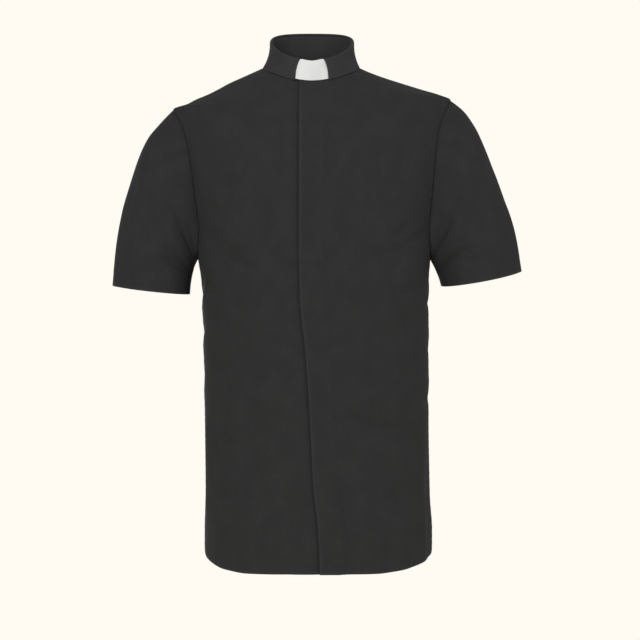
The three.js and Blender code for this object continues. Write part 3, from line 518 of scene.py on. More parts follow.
def lines_from(grid, edge):
    """A grid's lines, counted inwards from one of its edges."""
    turned = grid if edge in ("start", "end") else np.swapaxes(grid, 0, 1)
    return turned if edge in ("start", "bottom") else turned[::-1]


def back_to_grid(lines, edge):
    """The grid again from its lines as counted inwards from an edge."""
    ordered = lines if edge in ("start", "bottom") else lines[::-1]
    return ordered if edge in ("start", "end") else np.swapaxes(ordered, 0, 1)


def run_from(points, edge):
    """Each point's distance from an edge, added up along its grid line."""
    lines = lines_from(points, edge)
    steps = np.linalg.norm(np.diff(lines, axis=0), axis=-1)
    run = np.concatenate([np.zeros_like(steps[:1]), np.cumsum(steps, axis=0)])
    return back_to_grid(run, edge)


def line_inside(points, outward, edge, inset):
    """The line that runs a given distance inside an edge, with the outward directions along it."""
    run = lines_from(run_from(points, edge), edge)
    place = np.clip((run <= inset).sum(axis=0) - 1, 0, len(run) - 2)
    item = np.arange(run.shape[1])
    share = ((inset - run[place, item]) / (run[place + 1, item] - run[place, item]))[:, None]
    lines, directions = lines_from(points, edge), lines_from(outward, edge)
    line = mix(lines[place, item], lines[place + 1, item], share)
    return line, unit(mix(directions[place, item], directions[place + 1, item], share))


def with_turned_edge(points, outward, edge, deep, count):
    """The grid with its edge turned in: half a circle round the fold, then a second layer that lies inside
    the first one, back to a given depth in a given number of lines."""
    first, first_out = lines_from(points, edge)[0], lines_from(outward, edge)[0]
    away = unit(first - line_inside(points, outward, edge, TURNED["sight"])[0])
    radius = TURNED["radius"]
    lines, directions = [], []
    for turn in np.radians(TURNED["angles"]):
        inwards = first_out * radius * (1 - np.cos(turn))
        lines.append(first - inwards + away * radius * np.sin(turn))
        directions.append(first_out)
    for inset in np.linspace(deep / count, deep, count):
        line, out = line_inside(points, outward, edge, inset)
        lines.append(line - out * 2 * radius)
        directions.append(out)
    whole = np.concatenate([np.stack(lines[::-1]), lines_from(points, edge)])
    whole_out = np.concatenate([np.stack(directions[::-1]), lines_from(outward, edge)])
    return back_to_grid(whole, edge), back_to_grid(whole_out, edge)


def with_tucked_edge(points, outward, edge, tuck=SEAM["tuck"]):
    """The grid with its edge carried on under the piece it is sewn to: straight on, and a little lower."""
    lines, directions = lines_from(points, edge), lines_from(outward, edge)
    away = unit(lines[0] - lines[1])
    near = lines[0] + away * SEAM["near"] - directions[0] * SEAM["under"]
    far = lines[0] + away * np.reshape(tuck, (-1, 1)) - directions[0] * (SEAM["under"] + SEAM["slope"])
    whole = np.concatenate([np.stack([far, near]), lines])
    whole_out = np.concatenate([np.stack([directions[0]] * 2), directions])
    return back_to_grid(whole, edge), back_to_grid(whole_out, edge)


def seam_dip(run):
    """The cloth is drawn in along a seam: -dip * exp(-(distance / width)^2)."""
    return -SEAM["dip"] * np.exp(-((run / SEAM["dip_wide"]) ** 2))


def felled(run):
    """A flat-felled seam holds more layers beside it: a step of one more, which ends past its stitching."""
    return SEAM["fell"] * smooth((SEAM["fell_end"] - run) / SEAM["fell_step"])


def pucker(run, along, shift=0.0):
    """Small ripples that stitching draws up: an uneven wave along the seam, fading with distance from it. A
    shift along the seam keeps the ripples of two seams apart."""
    along = along + shift
    phase = 2 * np.pi * along / PUCKER["wave"]
    for much, length in PUCKER["sways"]:
        phase = phase + much * np.sin(along / length)
    return PUCKER["high"] * np.sin(phase) * np.exp(-run / PUCKER["fade"])


def worn_fold(points, edge, deep):
    """How worn a turned edge is: exp(-distance / width) from its fold, just past the second layer's end."""
    return np.exp(-np.abs(run_from(points, edge) - deep - WORN["past_fold"]) / WORN["fold_wide"])


def weave_map(points):
    """A flat plan in millimetres: u adds up the distance across, and v the distance up each column."""
    return np.stack([run_from(points, "start"), run_from(points, "bottom")], axis=-1)


def cloth_piece(name, points, outward, material, worn=None, thick=CLOTH_THICK, grain=weave_map):
    """A thin shell of cloth on a grid of points, with its plan as UV map and its worn edges as an attribute.
    Solidify gives it its thickness, inwards."""
    columns, rows = points.shape[:2]
    faces = grid_faces(columns, rows)
    across = points[1:, :-1] - points[:-1, :-1]
    up = points[:-1, 1:] - points[:-1, :-1]
    sense = np.sum(np.cross(across, up) * outward[:-1, :-1], axis=-1)
    if np.median(sense) < 0:
        faces = faces[:, ::-1]
    made = mesh_object(name, points.reshape(-1, 3), faces)
    plan = made.data.uv_layers.new(name="UVMap")
    corners = (grain(points) / METRE).reshape(-1, 2)[faces.ravel()]
    plan.data.foreach_set("uv", corners.astype(np.float32).ravel())
    wear = made.data.attributes.new("worn", "FLOAT", "POINT")
    amount = np.zeros((columns, rows)) if worn is None else worn
    wear.data.foreach_set("value", amount.astype(np.float32).ravel())
    made.data.materials.append(material)
    shell = made.modifiers.new("thickness", "SOLIDIFY")
    shell.thickness = thick / METRE
    shell.offset = -1
    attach(made, "root")
    return made


def stitch_row(line, outward, trim=STITCH["trim"]):
    """The points of one row of lockstitches along a line. Each stitch is a spindle: s runs along it and t
    round it, its radius is w * (1 - s^2)^0.5, and its middle rises while its ends sink into the cloth."""
    run = np.concatenate([[0], np.cumsum(np.linalg.norm(np.diff(line, axis=0), axis=1))])
    middle = np.arange(trim[0] + STITCH["pitch"] / 2, run[-1] - trim[1], STITCH["pitch"])
    at = [np.stack([np.interp(middle + step, run, axis) for axis in line.T], axis=1) for step in (-1, 0, 1)]
    out = unit(np.stack([np.interp(middle, run, axis) for axis in outward.T], axis=1))
    forward = unit(at[2] - at[0])
    beside = unit(np.cross(out, forward))
    s = np.array(STITCH["rings"])
    radius = STITCH["wide"] / 2 * np.sqrt(np.maximum(1 - s * s, STITCH["tip"]))
    height = STITCH["rise"] * (1 - STITCH["sink"] * s * s)
    centre = at[1][:, None] + forward[:, None] * (s * STITCH["long"] / 2)[None, :, None]
    centre = centre + out[:, None] * height[None, :, None]
    t = np.radians(STITCH["corners"])[None, None, :, None]
    ring = beside[:, None, None] * np.cos(t) + out[:, None, None] * np.sin(t)
    return centre[:, :, None] + ring * radius[None, :, None, None]


def stitch_lines(points, outward, insets, trim=STITCH["trim"]):
    """Rows of stitches that run at given distances inside the edges of a grid."""
    return [stitch_row(*line_inside(points, outward, edge, inset), trim) for edge, inset in insets]


def stitching(name, rows, material):
    """All the stitches of a piece as one mesh. Each is closed, with a cap at each end."""
    stitches = np.concatenate(rows)
    rings, corners = stitches.shape[1:3]
    ring, corner = np.meshgrid(np.arange(rings - 1), np.arange(corners), indexing="ij")
    a = ring * corners + corner
    b = ring * corners + (corner + 1) % corners
    sides = np.stack([a, b, b + corners, a + corners], axis=-1).reshape(-1, corners)
    caps = [np.arange(corners)[::-1], np.arange(corners) + (rings - 1) * corners]
    one = np.concatenate([sides, caps])
    faces = (one[None] + rings * corners * np.arange(len(stitches))[:, None, None]).reshape(-1, corners)
    made = mesh_object(name, stitches.reshape(-1, 3), faces)
    made.data.materials.append(material)
    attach(made, "root")
    return made


def tints(colour, factors):
    """A colour times each of some factors."""
    return [[factor * part for part in colour] for factor in factors]


def shade(tree, shader, strength, colours, span=(0.0, 1.0)):
    """Colours a shader from a darker to a lighter colour, as a strength goes over a span."""
    ramp = tree.nodes.new("ShaderNodeValToRGB")
    for element, position, colour in zip(ramp.color_ramp.elements, span, colours):
        element.position = position
        element.color = (*colour, 1)
    tree.links.new(strength, ramp.inputs["Fac"])
    tree.links.new(ramp.outputs["Color"], shader.inputs["Base Color"])


def clouds(tree, scale):
    """The strength of soft noise in space, with a given number of spots to a metre."""
    place = tree.nodes.new("ShaderNodeTexCoord")
    noise = tree.nodes.new("ShaderNodeTexNoise")
    noise.inputs["Scale"].default_value = scale
    tree.links.new(place.outputs["Object"], noise.inputs["Vector"])
    return noise.outputs["Fac"]


def woven(name, colour, roughness, relief, sheen):
    """Plain-woven cloth. The weave is sin(u) * sin(v) on the piece's plan, the threads vary along their own
    length, and colour, roughness and bump follow both. Worn edges are a little paler and smoother."""
    material, tree, shader = new_shader(name)
    nodes, links = tree.nodes, tree.links
    plan = nodes.new("ShaderNodeUVMap")
    plan.uv_map = "UVMap"

    def scaled(factors):
        node = nodes.new("ShaderNodeMapping")
        node.inputs["Scale"].default_value = factors
        links.new(plan.outputs["UV"], node.inputs["Vector"])
        return node.outputs["Vector"]

    def noise(factors, detail):
        node = nodes.new("ShaderNodeTexNoise")
        node.inputs["Scale"].default_value = 1.0
        node.inputs["Detail"].default_value = detail
        links.new(scaled(factors), node.inputs["Vector"])
        return node.outputs["Fac"]

    def math_node(operation, first, second):
        node = nodes.new("ShaderNodeMath")
        node.operation = operation
        for socket, value in zip(node.inputs, (first, second)):
            if isinstance(value, float):
                socket.default_value = value
            else:
                links.new(value, socket)
        return node.outputs["Value"]

    threads = nodes.new("ShaderNodeSeparateXYZ")
    links.new(scaled(WEAVE["threads"]), threads.inputs["Vector"])
    warp = math_node("SINE", threads.outputs["X"], 0.0)
    weft = math_node("SINE", threads.outputs["Y"], 0.0)
    weave = math_node("MULTIPLY", warp, weft)
    slubs = math_node("ADD", noise(WEAVE["warp"], detail=2.0), noise(WEAVE["weft"], detail=2.0))
    cloudy = noise(WEAVE["clouds"], detail=3.0)
    wear = nodes.new("ShaderNodeAttribute")
    wear.attribute_name = "worn"
    weave_height = math_node("MULTIPLY", weave, WEAVE["weave_high"])
    height = math_node("ADD", weave_height, math_node("MULTIPLY", slubs, WEAVE["slubs_high"]))
    bump = nodes.new("ShaderNodeBump")
    bump.inputs["Strength"].default_value = relief
    bump.inputs["Distance"].default_value = WEAVE["relief"]
    links.new(height, bump.inputs["Height"])
    links.new(bump.outputs["Normal"], shader.inputs["Normal"])

    cloudy_tone = math_node("MULTIPLY", cloudy, WEAVE["clouds_tone"])
    worn_tone = math_node("MULTIPLY", wear.outputs["Fac"], WEAVE["worn_tone"])
    tone = math_node("ADD", math_node("MULTIPLY", slubs, WEAVE["slubs_tone"]), cloudy_tone)
    tone = math_node("ADD", tone, worn_tone)
    shade(tree, shader, tone, tints(colour, WEAVE["shades"]), WEAVE["span"])
    rough = nodes.new("ShaderNodeMapRange")
    rough.inputs["From Min"].default_value = WEAVE["rough_span"][0]
    rough.inputs["From Max"].default_value = WEAVE["rough_span"][1]
    rough.inputs["To Min"].default_value = roughness + WEAVE["rougher"]
    rough.inputs["To Max"].default_value = roughness - WEAVE["smoother"]
    links.new(tone, rough.inputs["Value"])
    links.new(rough.outputs["Result"], shader.inputs["Roughness"])
    shader.inputs["Specular IOR Level"].default_value = 0.28
    shader.inputs["Sheen Weight"].default_value = sheen
    shader.inputs["Sheen Roughness"].default_value = 0.45
    shader.inputs["Sheen Tint"].default_value = (0.55, 0.56, 0.58, 1)
    return material


def spun_thread(name, colour):
    """Polyester thread: its plies show as fine uneven shades, and it is a little glossier than the cloth."""
    material, tree, shader = new_shader(name)
    shade(tree, shader, clouds(tree, THREAD["scale"]), tints(colour, THREAD["shades"]))
    shader.inputs["Roughness"].default_value = 0.5
    shader.inputs["Specular IOR Level"].default_value = 0.4
    return material


shirt_cloth = woven("black_shirt_cloth", CLOTH_BLACK, roughness=0.88, relief=0.35, sheen=0.03)
black_thread = spun_thread("black_thread", THREAD_BLACK)
LOW_LENGTH = PIT_HEIGHT - HEM["front"]
LOW_LINES = np.concatenate([HEM["near"], np.linspace(HEM["deep"], LOW_LENGTH, FRONT_STEPS["low"])])
LOW_SHARES = LOW_LINES / LOW_LENGTH
HIGH_SHARES = np.linspace(0, 1, FRONT_STEPS["high"])[1:]


def sewn_piece(
    node, points, outward, rows, worn=None,
    thick=CLOTH_THICK, grain=weave_map, material=shirt_cloth,
):
    """The cloth and the stitching that take the place of one solid."""
    cloth = cloth_piece(f"{node}_cloth", points, outward, material, worn, thick, grain)
    thread = stitching(f"{node}_stitching", rows, black_thread)
    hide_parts(node)
    return cloth, thread


def front_spots(side):
    """Direction, height and lift of a front's grid, from the lap to the side seam and from the hem to the
    neck and yoke seam. Below the armpit its columns are level steps from the lap to the side, and above it
    they fill the space between the lap, neck, yoke seam and armhole."""
    sign = SIDE_SIGN[side]
    wearer_side = 0.0 if sign > 0 else -np.pi
    lap = LAP[side]
    count = int(abs(lap["across"][-1] - lap["across"][0]) / FRONT_STEPS["lap"])
    across = np.linspace(lap["across"][0], lap["across"][-1], count + 1)
    order = np.argsort(lap["across"])
    lift = np.interp(across, np.array(lap["across"])[order], np.array(lap["lift"])[order])
    turned_down = 2 * np.pi if sign < 0 else 0.0

    top = halved(
        NECK_SEAM["lowest"],
        NECK_SEAM["side"],
        lambda z: z > neck_height(angle_at_x(opening_line(z) + across, z)),
    )
    low_z = mix(HEM["front"], PIT_HEIGHT, LOW_SHARES)[None] + 0 * across[:, None]
    high_z = mix(PIT_HEIGHT, top[:, None], HIGH_SHARES[None])
    lap_z = np.concatenate([low_z, high_z], axis=1)
    lap_angle = angle_at_x(opening_line(lap_z) + across[:, None], lap_z)
    flat = smooth((lap_z - LAP_TOP["from"]) / (LAP_TOP["to"] - LAP_TOP["from"]))
    kept = np.where(lift[:, None] > 0, mix(1, LAP_TOP["kept"], flat), 1)
    lap_lift = lift[:, None] * kept

    last = across[-1]
    s = np.linspace(0, 1, FRONT_STEPS["across"])

    def low_angle(z):
        return mix(angle_at_x(opening_line(z) + last, z), wearer_side, s[:, None])

    hem = hem_height(low_angle(np.full((1, 1), HEM["front"])))
    field_z = mix(hem, PIT_HEIGHT, LOW_SHARES[None])
    low = np.stack([low_angle(field_z), field_z], axis=-1)

    neck_count = len(s) // 2
    neck_start = np.array([lap_angle[-1, -1], lap_z[-1, -1]])
    corner = yoke_seam_spot(side, 0.0) - [turned_down, 0]
    neck_angle = mix(neck_start[0], corner[0], s[:neck_count] / s[neck_count])
    neck = np.stack([neck_angle, neck_height(neck_angle)], axis=-1)
    yoke_share = (s[neck_count:] - s[neck_count]) / (1 - s[neck_count])
    seam = yoke_seam_spot(side, yoke_share) - [turned_down, 0]
    t = np.concatenate([[0], HIGH_SHARES])
    start_z = mix(PIT_HEIGHT, neck_start[1], t)
    start = np.stack([angle_at_x(opening_line(start_z) + last, start_z), start_z], axis=-1)
    end = armhole_spot(side, mix(-np.pi / 2, YOKE_TURN, t)) - [turned_down, 0]
    high = between(low[:, -1], np.concatenate([neck, seam]), start, end, s, t)
    field = np.concatenate([low, high[:, 1:]], axis=1)[1:]
    angle = np.concatenate([lap_angle, field[..., 0]])
    z = np.concatenate([lap_z, field[..., 1]])
    lift = np.concatenate([lap_lift, np.zeros(field.shape[:2])])
    return angle, z, lift


def front_piece(side):
    """A front with its seams, turned free edge and hem, and its stitching."""
    angle, z, lift = front_spots(side)
    base, outward = body_point(angle, z), body_outward(angle, z)
    from_lap, from_side = run_from(base, "start"), run_from(base, "end")
    from_hem, from_top = run_from(base, "bottom"), run_from(base, "top")
    lift = lift + seam_dip(from_side) + felled(from_side) + seam_dip(from_top)
    lift = lift + pucker(from_side, z) + pucker(np.abs(from_hem - HEM["deep"]), from_side)
    lift = lift + pucker(from_top, from_side, shift=40.0)
    insets = [("end", SEAM["fell_stitch"]), ("bottom", HEM["stitch"])]
    if side == "left":
        fly_ripples = pucker(np.abs(from_lap - FLY["ripple"]), z, shift=17.0)
        lift = lift + fly_ripples + FLY["edge_ripple"] * pucker(from_lap, z * FLY["edge_wave"])
        insets += [("start", FLY["stitch"]), ("start", FLY["edge_stitch"])]
    points = base + outward * lift[..., None]
    rows = stitch_lines(points, outward, insets)
    on_neck = np.arange(len(points)) < len(points) - FRONT_STEPS["across"] // 2
    tuck = np.where(on_neck, SEAM["neck_tuck"], SEAM["tuck"])
    turned = LAP[side]["turn"]
    points, outward = with_tucked_edge(points, outward, "top", tuck)
    points, outward = with_turned_edge(points, outward, "start", turned, FRONT_STEPS["turned"])
    points, outward = with_turned_edge(points, outward, "bottom", HEM["deep"], HEM["lines"])
    worn = np.maximum(worn_fold(points, "start", turned), worn_fold(points, "bottom", HEM["deep"]))
    return sewn_piece(f"{side}_front", points, outward, rows, worn)


right_front, right_front_thread = front_piece("right")
left_front, left_front_thread = front_piece("left")


# The back. One piece of the same cloth from side seam to side seam, sewn up into the yoke and turned up at
# its hem. It hangs in long soft folds from the shoulder blades, with slack creases at the small of the back.
YOKE_BACK = -100.0
BACK_STEPS = {"across": 124, "high": 52}


def yoke_back_turn(side):
    """The armhole's turn at the corner where the back yoke seam meets it."""
    share = (YOKE_BACK - PIT_HEIGHT) / (SHOULDER_TIP[side] - PIT_HEIGHT)
    return np.pi - np.arcsin(2 * share - 1)


def back_spots():
    """Direction and height of the back's grid: level steps from side to side below the armpits, and above
    them the space between both armholes and the yoke seam."""
    s = np.linspace(0, 1, BACK_STEPS["across"])
    t = np.linspace(0, 1, BACK_STEPS["high"])
    angle = np.pi * s[:, None]
    field_z = mix(hem_height(angle), PIT_HEIGHT, LOW_SHARES[None])
    low = np.stack([angle + 0 * field_z, field_z], axis=-1)
    left_turns = mix(1.5 * np.pi, yoke_back_turn("left"), t)
    right_turns = mix(1.5 * np.pi, yoke_back_turn("right"), t)
    start, end = armhole_spot("left", left_turns), armhole_spot("right", right_turns)
    top = np.stack([mix(start[-1, 0], end[-1, 0], s), np.full_like(s, YOKE_BACK)], axis=-1)
    high = between(low[:, -1], top, start, end, s, t)
    return np.concatenate([low, high[:, 1:]], axis=1)


def back_grain(points):
    """The back's plan: as for any piece, but u is counted from its middle line, as its sides curve."""
    plan = weave_map(points)
    return plan - plan[len(plan) // 2] * [1, 0]


def back_piece():
    """The back with its seams, hem and stitching. Only its armholes are felled on its own side."""
    spots = back_spots()
    angle, z = spots[..., 0], spots[..., 1]
    base, outward = body_point(angle, z), body_outward(angle, z)
    outward = np.where(np.sum(outward * base * [1, 1, 0], axis=-1, keepdims=True) < 0, -outward, outward)
    across, from_top = run_from(base, "start"), run_from(base, "top")
    from_side = np.minimum(across, run_from(base, "end"))
    by_armhole = smooth((z - PIT_HEIGHT) / ARMHOLE["felled_from"])
    lift = seam_dip(from_side) + felled(from_side) * by_armhole + seam_dip(from_top)
    lift = lift + pucker(from_side, z, shift=9.0) + pucker(from_top, across)
    lift = lift + pucker(np.abs(run_from(base, "bottom") - HEM["deep"]), across)
    points = base + outward * lift[..., None]
    rows = stitch_lines(points, outward, [("bottom", HEM["stitch"])])
    armhole = slice(len(LOW_SHARES) - 1, None)
    for edge in ("start", "end"):
        line, out = line_inside(points, outward, edge, SEAM["fell_stitch"])
        rows.append(stitch_row(line[armhole], out[armhole]))
    for edge in ("top", "start", "end"):
        points, outward = with_tucked_edge(points, outward, edge)
    points, outward = with_turned_edge(points, outward, "bottom", HEM["deep"], HEM["lines"])
    worn = worn_fold(points, "bottom", HEM["deep"])
    return sewn_piece("back", points, outward, rows, worn, grain=back_grain)


back_cloth, back_thread = back_piece()


# The yoke. A double layer of the cloth over both shoulders that carries the whole shirt. Its front edges run
# forward of the shoulder ridge and its back edge is level. Both are topstitched, and the sleeves are felled
# to its ends.
YOKE_STEPS = {"arm": 26, "back": 112, "up": 38}
YOKE_PARTS = {"arm": 5, "whole": 36}
YOKE_LAP = {"lift": 0.35, "wide": 1.2, "thick": 0.9, "stitch": 2.0, "trim": (0.5, 0.5)}
YOKE_PLAN = {"up": 0.8, "forward": 0.7}
YOKE_NECK = np.radians((40.0, 140.0))


def yoke_spots():
    """Direction and height of the yoke's grid. Its lower edge follows the left armhole's top, the back seam
    and the right armhole's top, its upper edge the neck, and its two ends the front yoke seams."""
    arm, rest = np.linspace(0, 1, YOKE_STEPS["arm"]), np.linspace(0, 1, YOKE_STEPS["back"])[1:-1]
    left = armhole_spot("left", mix(YOKE_TURN, yoke_back_turn("left"), arm))
    right = armhole_spot("right", mix(yoke_back_turn("right"), YOKE_TURN, arm))
    seam = np.stack([mix(left[-1, 0], right[0, 0], rest), np.full_like(rest, YOKE_BACK)], axis=-1)
    lower = np.concatenate([left, seam, right])
    first, last = yoke_seam_spot("left", 0.0)[0], yoke_seam_spot("right", 0.0)[0]
    neck = np.concatenate(
        [mix(first, YOKE_NECK[0], arm), mix(YOKE_NECK[0], YOKE_NECK[1], rest), mix(YOKE_NECK[1], last, arm)]
    )
    upper = np.stack([neck, neck_height(neck)], axis=-1)
    corner, whole = YOKE_PARTS["arm"], YOKE_PARTS["whole"]
    first_corner, last_corner = corner / whole, (whole - corner) / whole
    s = np.concatenate([arm * corner / whole, mix(first_corner, last_corner, rest), mix(last_corner, 1, arm)])
    t = np.linspace(0, 1, YOKE_STEPS["up"])
    start, end = yoke_seam_spot("left", 1 - t), yoke_seam_spot("right", 1 - t)
    return between(lower, upper, start, end, s, t)


def yoke_grain(points):
    """The yoke's plan: u runs along x, and v up the back and on forwards, as 0.8 z - 0.7 y."""
    v = YOKE_PLAN["up"] * points[..., 2] - YOKE_PLAN["forward"] * points[..., 1]
    return np.stack([points[..., 0], v], axis=-1)


def yoke_piece():
    """The yoke with its seams and stitching. It lies on top of the fronts and the back."""
    spots = yoke_spots()
    angle, z = spots[..., 0], spots[..., 1]
    base, outward = body_point(angle, z), body_outward(angle, z)
    ends = np.minimum(run_from(base, "start"), run_from(base, "end"))
    below = run_from(base, "bottom")
    from_edge = np.minimum(ends, below)
    lift = seam_dip(ends) + seam_dip(below) + YOKE_LAP["lift"] * smooth(from_edge / YOKE_LAP["wide"])
    lift = lift + pucker(below, run_from(base, "start")) + pucker(ends, below, shift=23.0)
    points = base + outward * lift[..., None]
    arm = YOKE_STEPS["arm"]
    lower_edge = (
        (slice(0, arm), SEAM["fell_stitch"]),
        (slice(arm - 1, 1 - arm), YOKE_LAP["stitch"]),
        (slice(-arm, None), SEAM["fell_stitch"]),
    )
    rows = []
    for part, inset in lower_edge:
        line, out = line_inside(points, outward, "bottom", inset)
        rows.append(stitch_row(line[part], out[part], YOKE_LAP["trim"]))
    rows += stitch_lines(points, outward, [("start", YOKE_LAP["stitch"]), ("end", YOKE_LAP["stitch"])])
    worn = np.exp(-from_edge / WORN["edge_wide"]) * WORN["yoke"]
    worn = np.concatenate([worn, worn[:, -2:]], axis=1)
    points, outward = with_tucked_edge(points, outward, "top", SEAM["neck_tuck"])
    return sewn_piece("yoke", points, outward, rows, worn, YOKE_LAP["thick"], yoke_grain)


yoke_cloth, yoke_thread = yoke_piece()


# The sleeves. Each is one piece, set into the armhole, sewn up under the arm and hemmed 24 mm deep.
# It falls from the shoulder as a wide tube, with folds that start at the armpit, in front and behind.
SLEEVE_LINES = {
    "right": {
        "t": (0, 0.1, 0.2, 0.3, 0.45, 0.6, 0.8, 1),
        "out_x": (222, 243.5, 261.5, 275, 290, 303, 313.5, 319),
        "out_z": (-61, -84, -108, -135, -178, -221, -281, -341),
        "in_x": (182, 184, 186, 188, 190, 192, 194, 195),
        "in_z": (-297, -301, -306, -311, -319, -328, -341, -355),
    },
    "left": {
        "t": (0, 0.1, 0.2, 0.3, 0.45, 0.6, 0.8, 1),
        "out_x": (222, 245, 260.5, 272.5, 290, 306.5, 324, 334),
        "out_z": (-46, -66, -91, -117, -160, -201, -259, -318),
        "in_x": (189, 190.5, 192.5, 194.5, 197.5, 200.5, 204, 206),
        "in_z": (-297, -301, -306, -310, -317, -324, -334, -342),
    },
}
SLEEVE_DEPTHS = {"t": (0, 0.15, 0.35, 0.6, 1), "front": (57, 63, 67, 66, 62), "back": (63, 66, 66, 59, 44)}
CUFF_DROP = {"right": 3.5, "left": 6.0}
SLEEVE_BLEND = 0.5
SLEEVE_PLAN = {"per_degree": 1.05, "per_t": 250.0, "end": 34.0}
SLEEVE_FOLDS = (
    # side, turn and t where it starts, the same where it ends, width, depth, bow
    ("both", -52, 0.08, 24, 0.5, 17, -5, 0),
    ("both", -58, 0.45, 0, 0.85, 16, -4, 0),
    ("both", 62, 0.4, 46, 1, 17, -3, 0),
    ("both", 232, 0.08, 160, 0.55, 18, -5, 0),
    ("both", 236, 0.5, 182, 0.9, 16, -4, 0),
    ("both", 122, 0.35, 134, 1, 18, -3, 0),
    ("right", -64, 0.20, 34, 0.30, 7, -1.8, 6),
    ("right", -70, 0.56, -6, 0.66, 7, -1.6, -5),
    ("right", 8, 0.58, 40, 0.96, 8, -1.6, 6),
    ("right", 244, 0.18, 158, 0.32, 8, -1.9, -6),
    ("right", 236, 0.66, 198, 0.76, 7, -1.5, 5),
    ("right", 84, 0.14, 96, 0.48, 10, 1.4, 5),
    ("right", 108, 0.55, 104, 1.05, 9, 1.6, -5),
    ("right", 22, 0.16, 60, 0.34, 8, -1.3, -4),
    ("left", -60, 0.16, 28, 0.34, 8, -1.9, -6),
    ("left", -66, 0.50, 2, 0.72, 7, -1.7, 6),
    ("left", 16, 0.62, 34, 1.02, 8, -1.5, -5),
    ("left", 240, 0.22, 166, 0.30, 7, -1.8, 6),
    ("left", 232, 0.60, 190, 0.80, 8, -1.6, -5),
    ("left", 92, 0.16, 84, 0.52, 10, 1.5, -5),
    ("left", 74, 0.62, 78, 1.05, 9, 1.5, 5),
    ("left", 30, 0.12, 66, 0.30, 8, -1.2, 4),
)
CUFF = {"hem": 24.0, "stitch": 22.5, "lines": 7}
SLEEVE_HEAD = {"ripple": 1.4, "wave": 0.7, "fade": 8.0}
UNDERARM_STITCH = 5.0
SLEEVE_STEPS = {"round": 156, "down": 78}
sleeve_front = curve_through(SLEEVE_DEPTHS, "t", "front")
sleeve_back = curve_through(SLEEVE_DEPTHS, "t", "back")
sleeve_lines = {
    side: {column: curve_through(table, "t", column) for column in ("out_x", "out_z", "in_x", "in_z")}
    for side, table in SLEEVE_LINES.items()
}


def sleeve_oval(side, turn, t):
    """A ring of the sleeve: an oval from its inner line, at -90 degrees, to its outer line, at 90."""
    line = sleeve_lines[side]
    share = (1 + np.sin(turn)) / 2
    forward = np.cos(turn)
    x = SIDE_SIGN[side] * mix(line["in_x"](t), line["out_x"](t), share)
    y = -forward * np.where(forward > 0, sleeve_front(t), sleeve_back(t))
    z = mix(line["in_z"](t), line["out_z"](t), share) - CUFF_DROP[side] * t * t * forward
    return np.stack([x, y, z], axis=-1)


def sleeve_tube(side, turn, t):
    """The oval at t, with what sets the armhole's curve apart from one fading as (1 - t / blend)^2."""
    along = np.clip(t, 0, 1)
    fade = np.maximum(0, 1 - along / SLEEVE_BLEND) ** 2
    spot = armhole_spot(side, turn)
    kept = body_point(spot[..., 0], spot[..., 1]) - sleeve_oval(side, turn, np.zeros_like(along))
    return sleeve_oval(side, turn, along) + kept * fade[..., None]


def sleeve_outward(side, turn, t):
    """The direction square to the sleeve, outwards."""

    def surface(a, b):
        return sleeve_tube(side, a, b)

    inside = np.clip(t, SMALL_STEP, 1 - SMALL_STEP)
    return square_to(surface, turn, inside, SMALL_STEP, SMALL_STEP) * -SIDE_SIGN[side]


def sleeve_folds(side, turn, t):
    """How far the folds move the sleeve out, on a flat plan of it. They fade out at the armhole."""
    degrees = np.degrees(turn)
    per_degree, per_t, fade = SLEEVE_PLAN["per_degree"], SLEEVE_PLAN["per_t"], SLEEVE_PLAN["end"]
    moved = np.zeros_like(degrees)
    for who, turn1, t1, turn2, t2, wide, deep, bow in SLEEVE_FOLDS:
        if who not in ("both", side):
            continue
        start, end = (turn1 * per_degree, t1 * per_t), (turn2 * per_degree, t2 * per_t)
        lip = 0.0 if who == "both" else LIP["share"]
        laps = [
            crease_share((degrees + lap) * per_degree, t * per_t, start, end, wide, fade, bow, lip)
            for lap in (0, -360, 360)
        ]
        moved += deep * sum(laps) * smooth(t * SLEEVE_HEAD["fade"])
    return moved


def sleeve_grain(points):
    """A sleeve's plan, as it is cut: u is counted from its outer line, and v up from its cuff."""
    u = run_from(points, "start")
    return np.stack([u - u[len(u) // 2], -run_from(points, "top")], axis=-1)


def sleeve_piece(side):
    """A sleeve with its head eased into the armhole, its underarm seam, its turned hem and its stitching."""
    turns = np.radians(np.linspace(-90, 270, SLEEVE_STEPS["round"]))
    rings = np.linspace(0, 1, SLEEVE_STEPS["down"])
    turn, t = np.meshgrid(turns, rings, indexing="ij")
    outward = sleeve_outward(side, turn, t)
    base = sleeve_tube(side, turn, t) + outward * sleeve_folds(side, turn, t)[..., None]
    around = run_from(base, "start")
    from_head, from_cuff = run_from(base, "bottom"), run_from(base, "top")
    from_seam = np.minimum(around, run_from(base, "end"))
    lift = seam_dip(from_head) + SLEEVE_HEAD["ripple"] * pucker(from_head, around * SLEEVE_HEAD["wave"])
    lift = lift + pucker(np.abs(from_cuff - CUFF["hem"]), around) + seam_dip(from_seam)
    points = base + outward * lift[..., None]
    rows = stitch_lines(points, outward, [("top", CUFF["stitch"]), ("start", UNDERARM_STITCH)])
    for edge in ("bottom", "end"):
        points, outward = with_tucked_edge(points, outward, edge)
    points, outward = with_turned_edge(points, outward, "top", CUFF["hem"], CUFF["lines"])
    worn = worn_fold(points, "top", CUFF["hem"])
    cloth, thread = sewn_piece(f"{side}_sleeve", points, outward, rows, worn, grain=sleeve_grain)


sleeve_piece("right")
sleeve_piece("left")


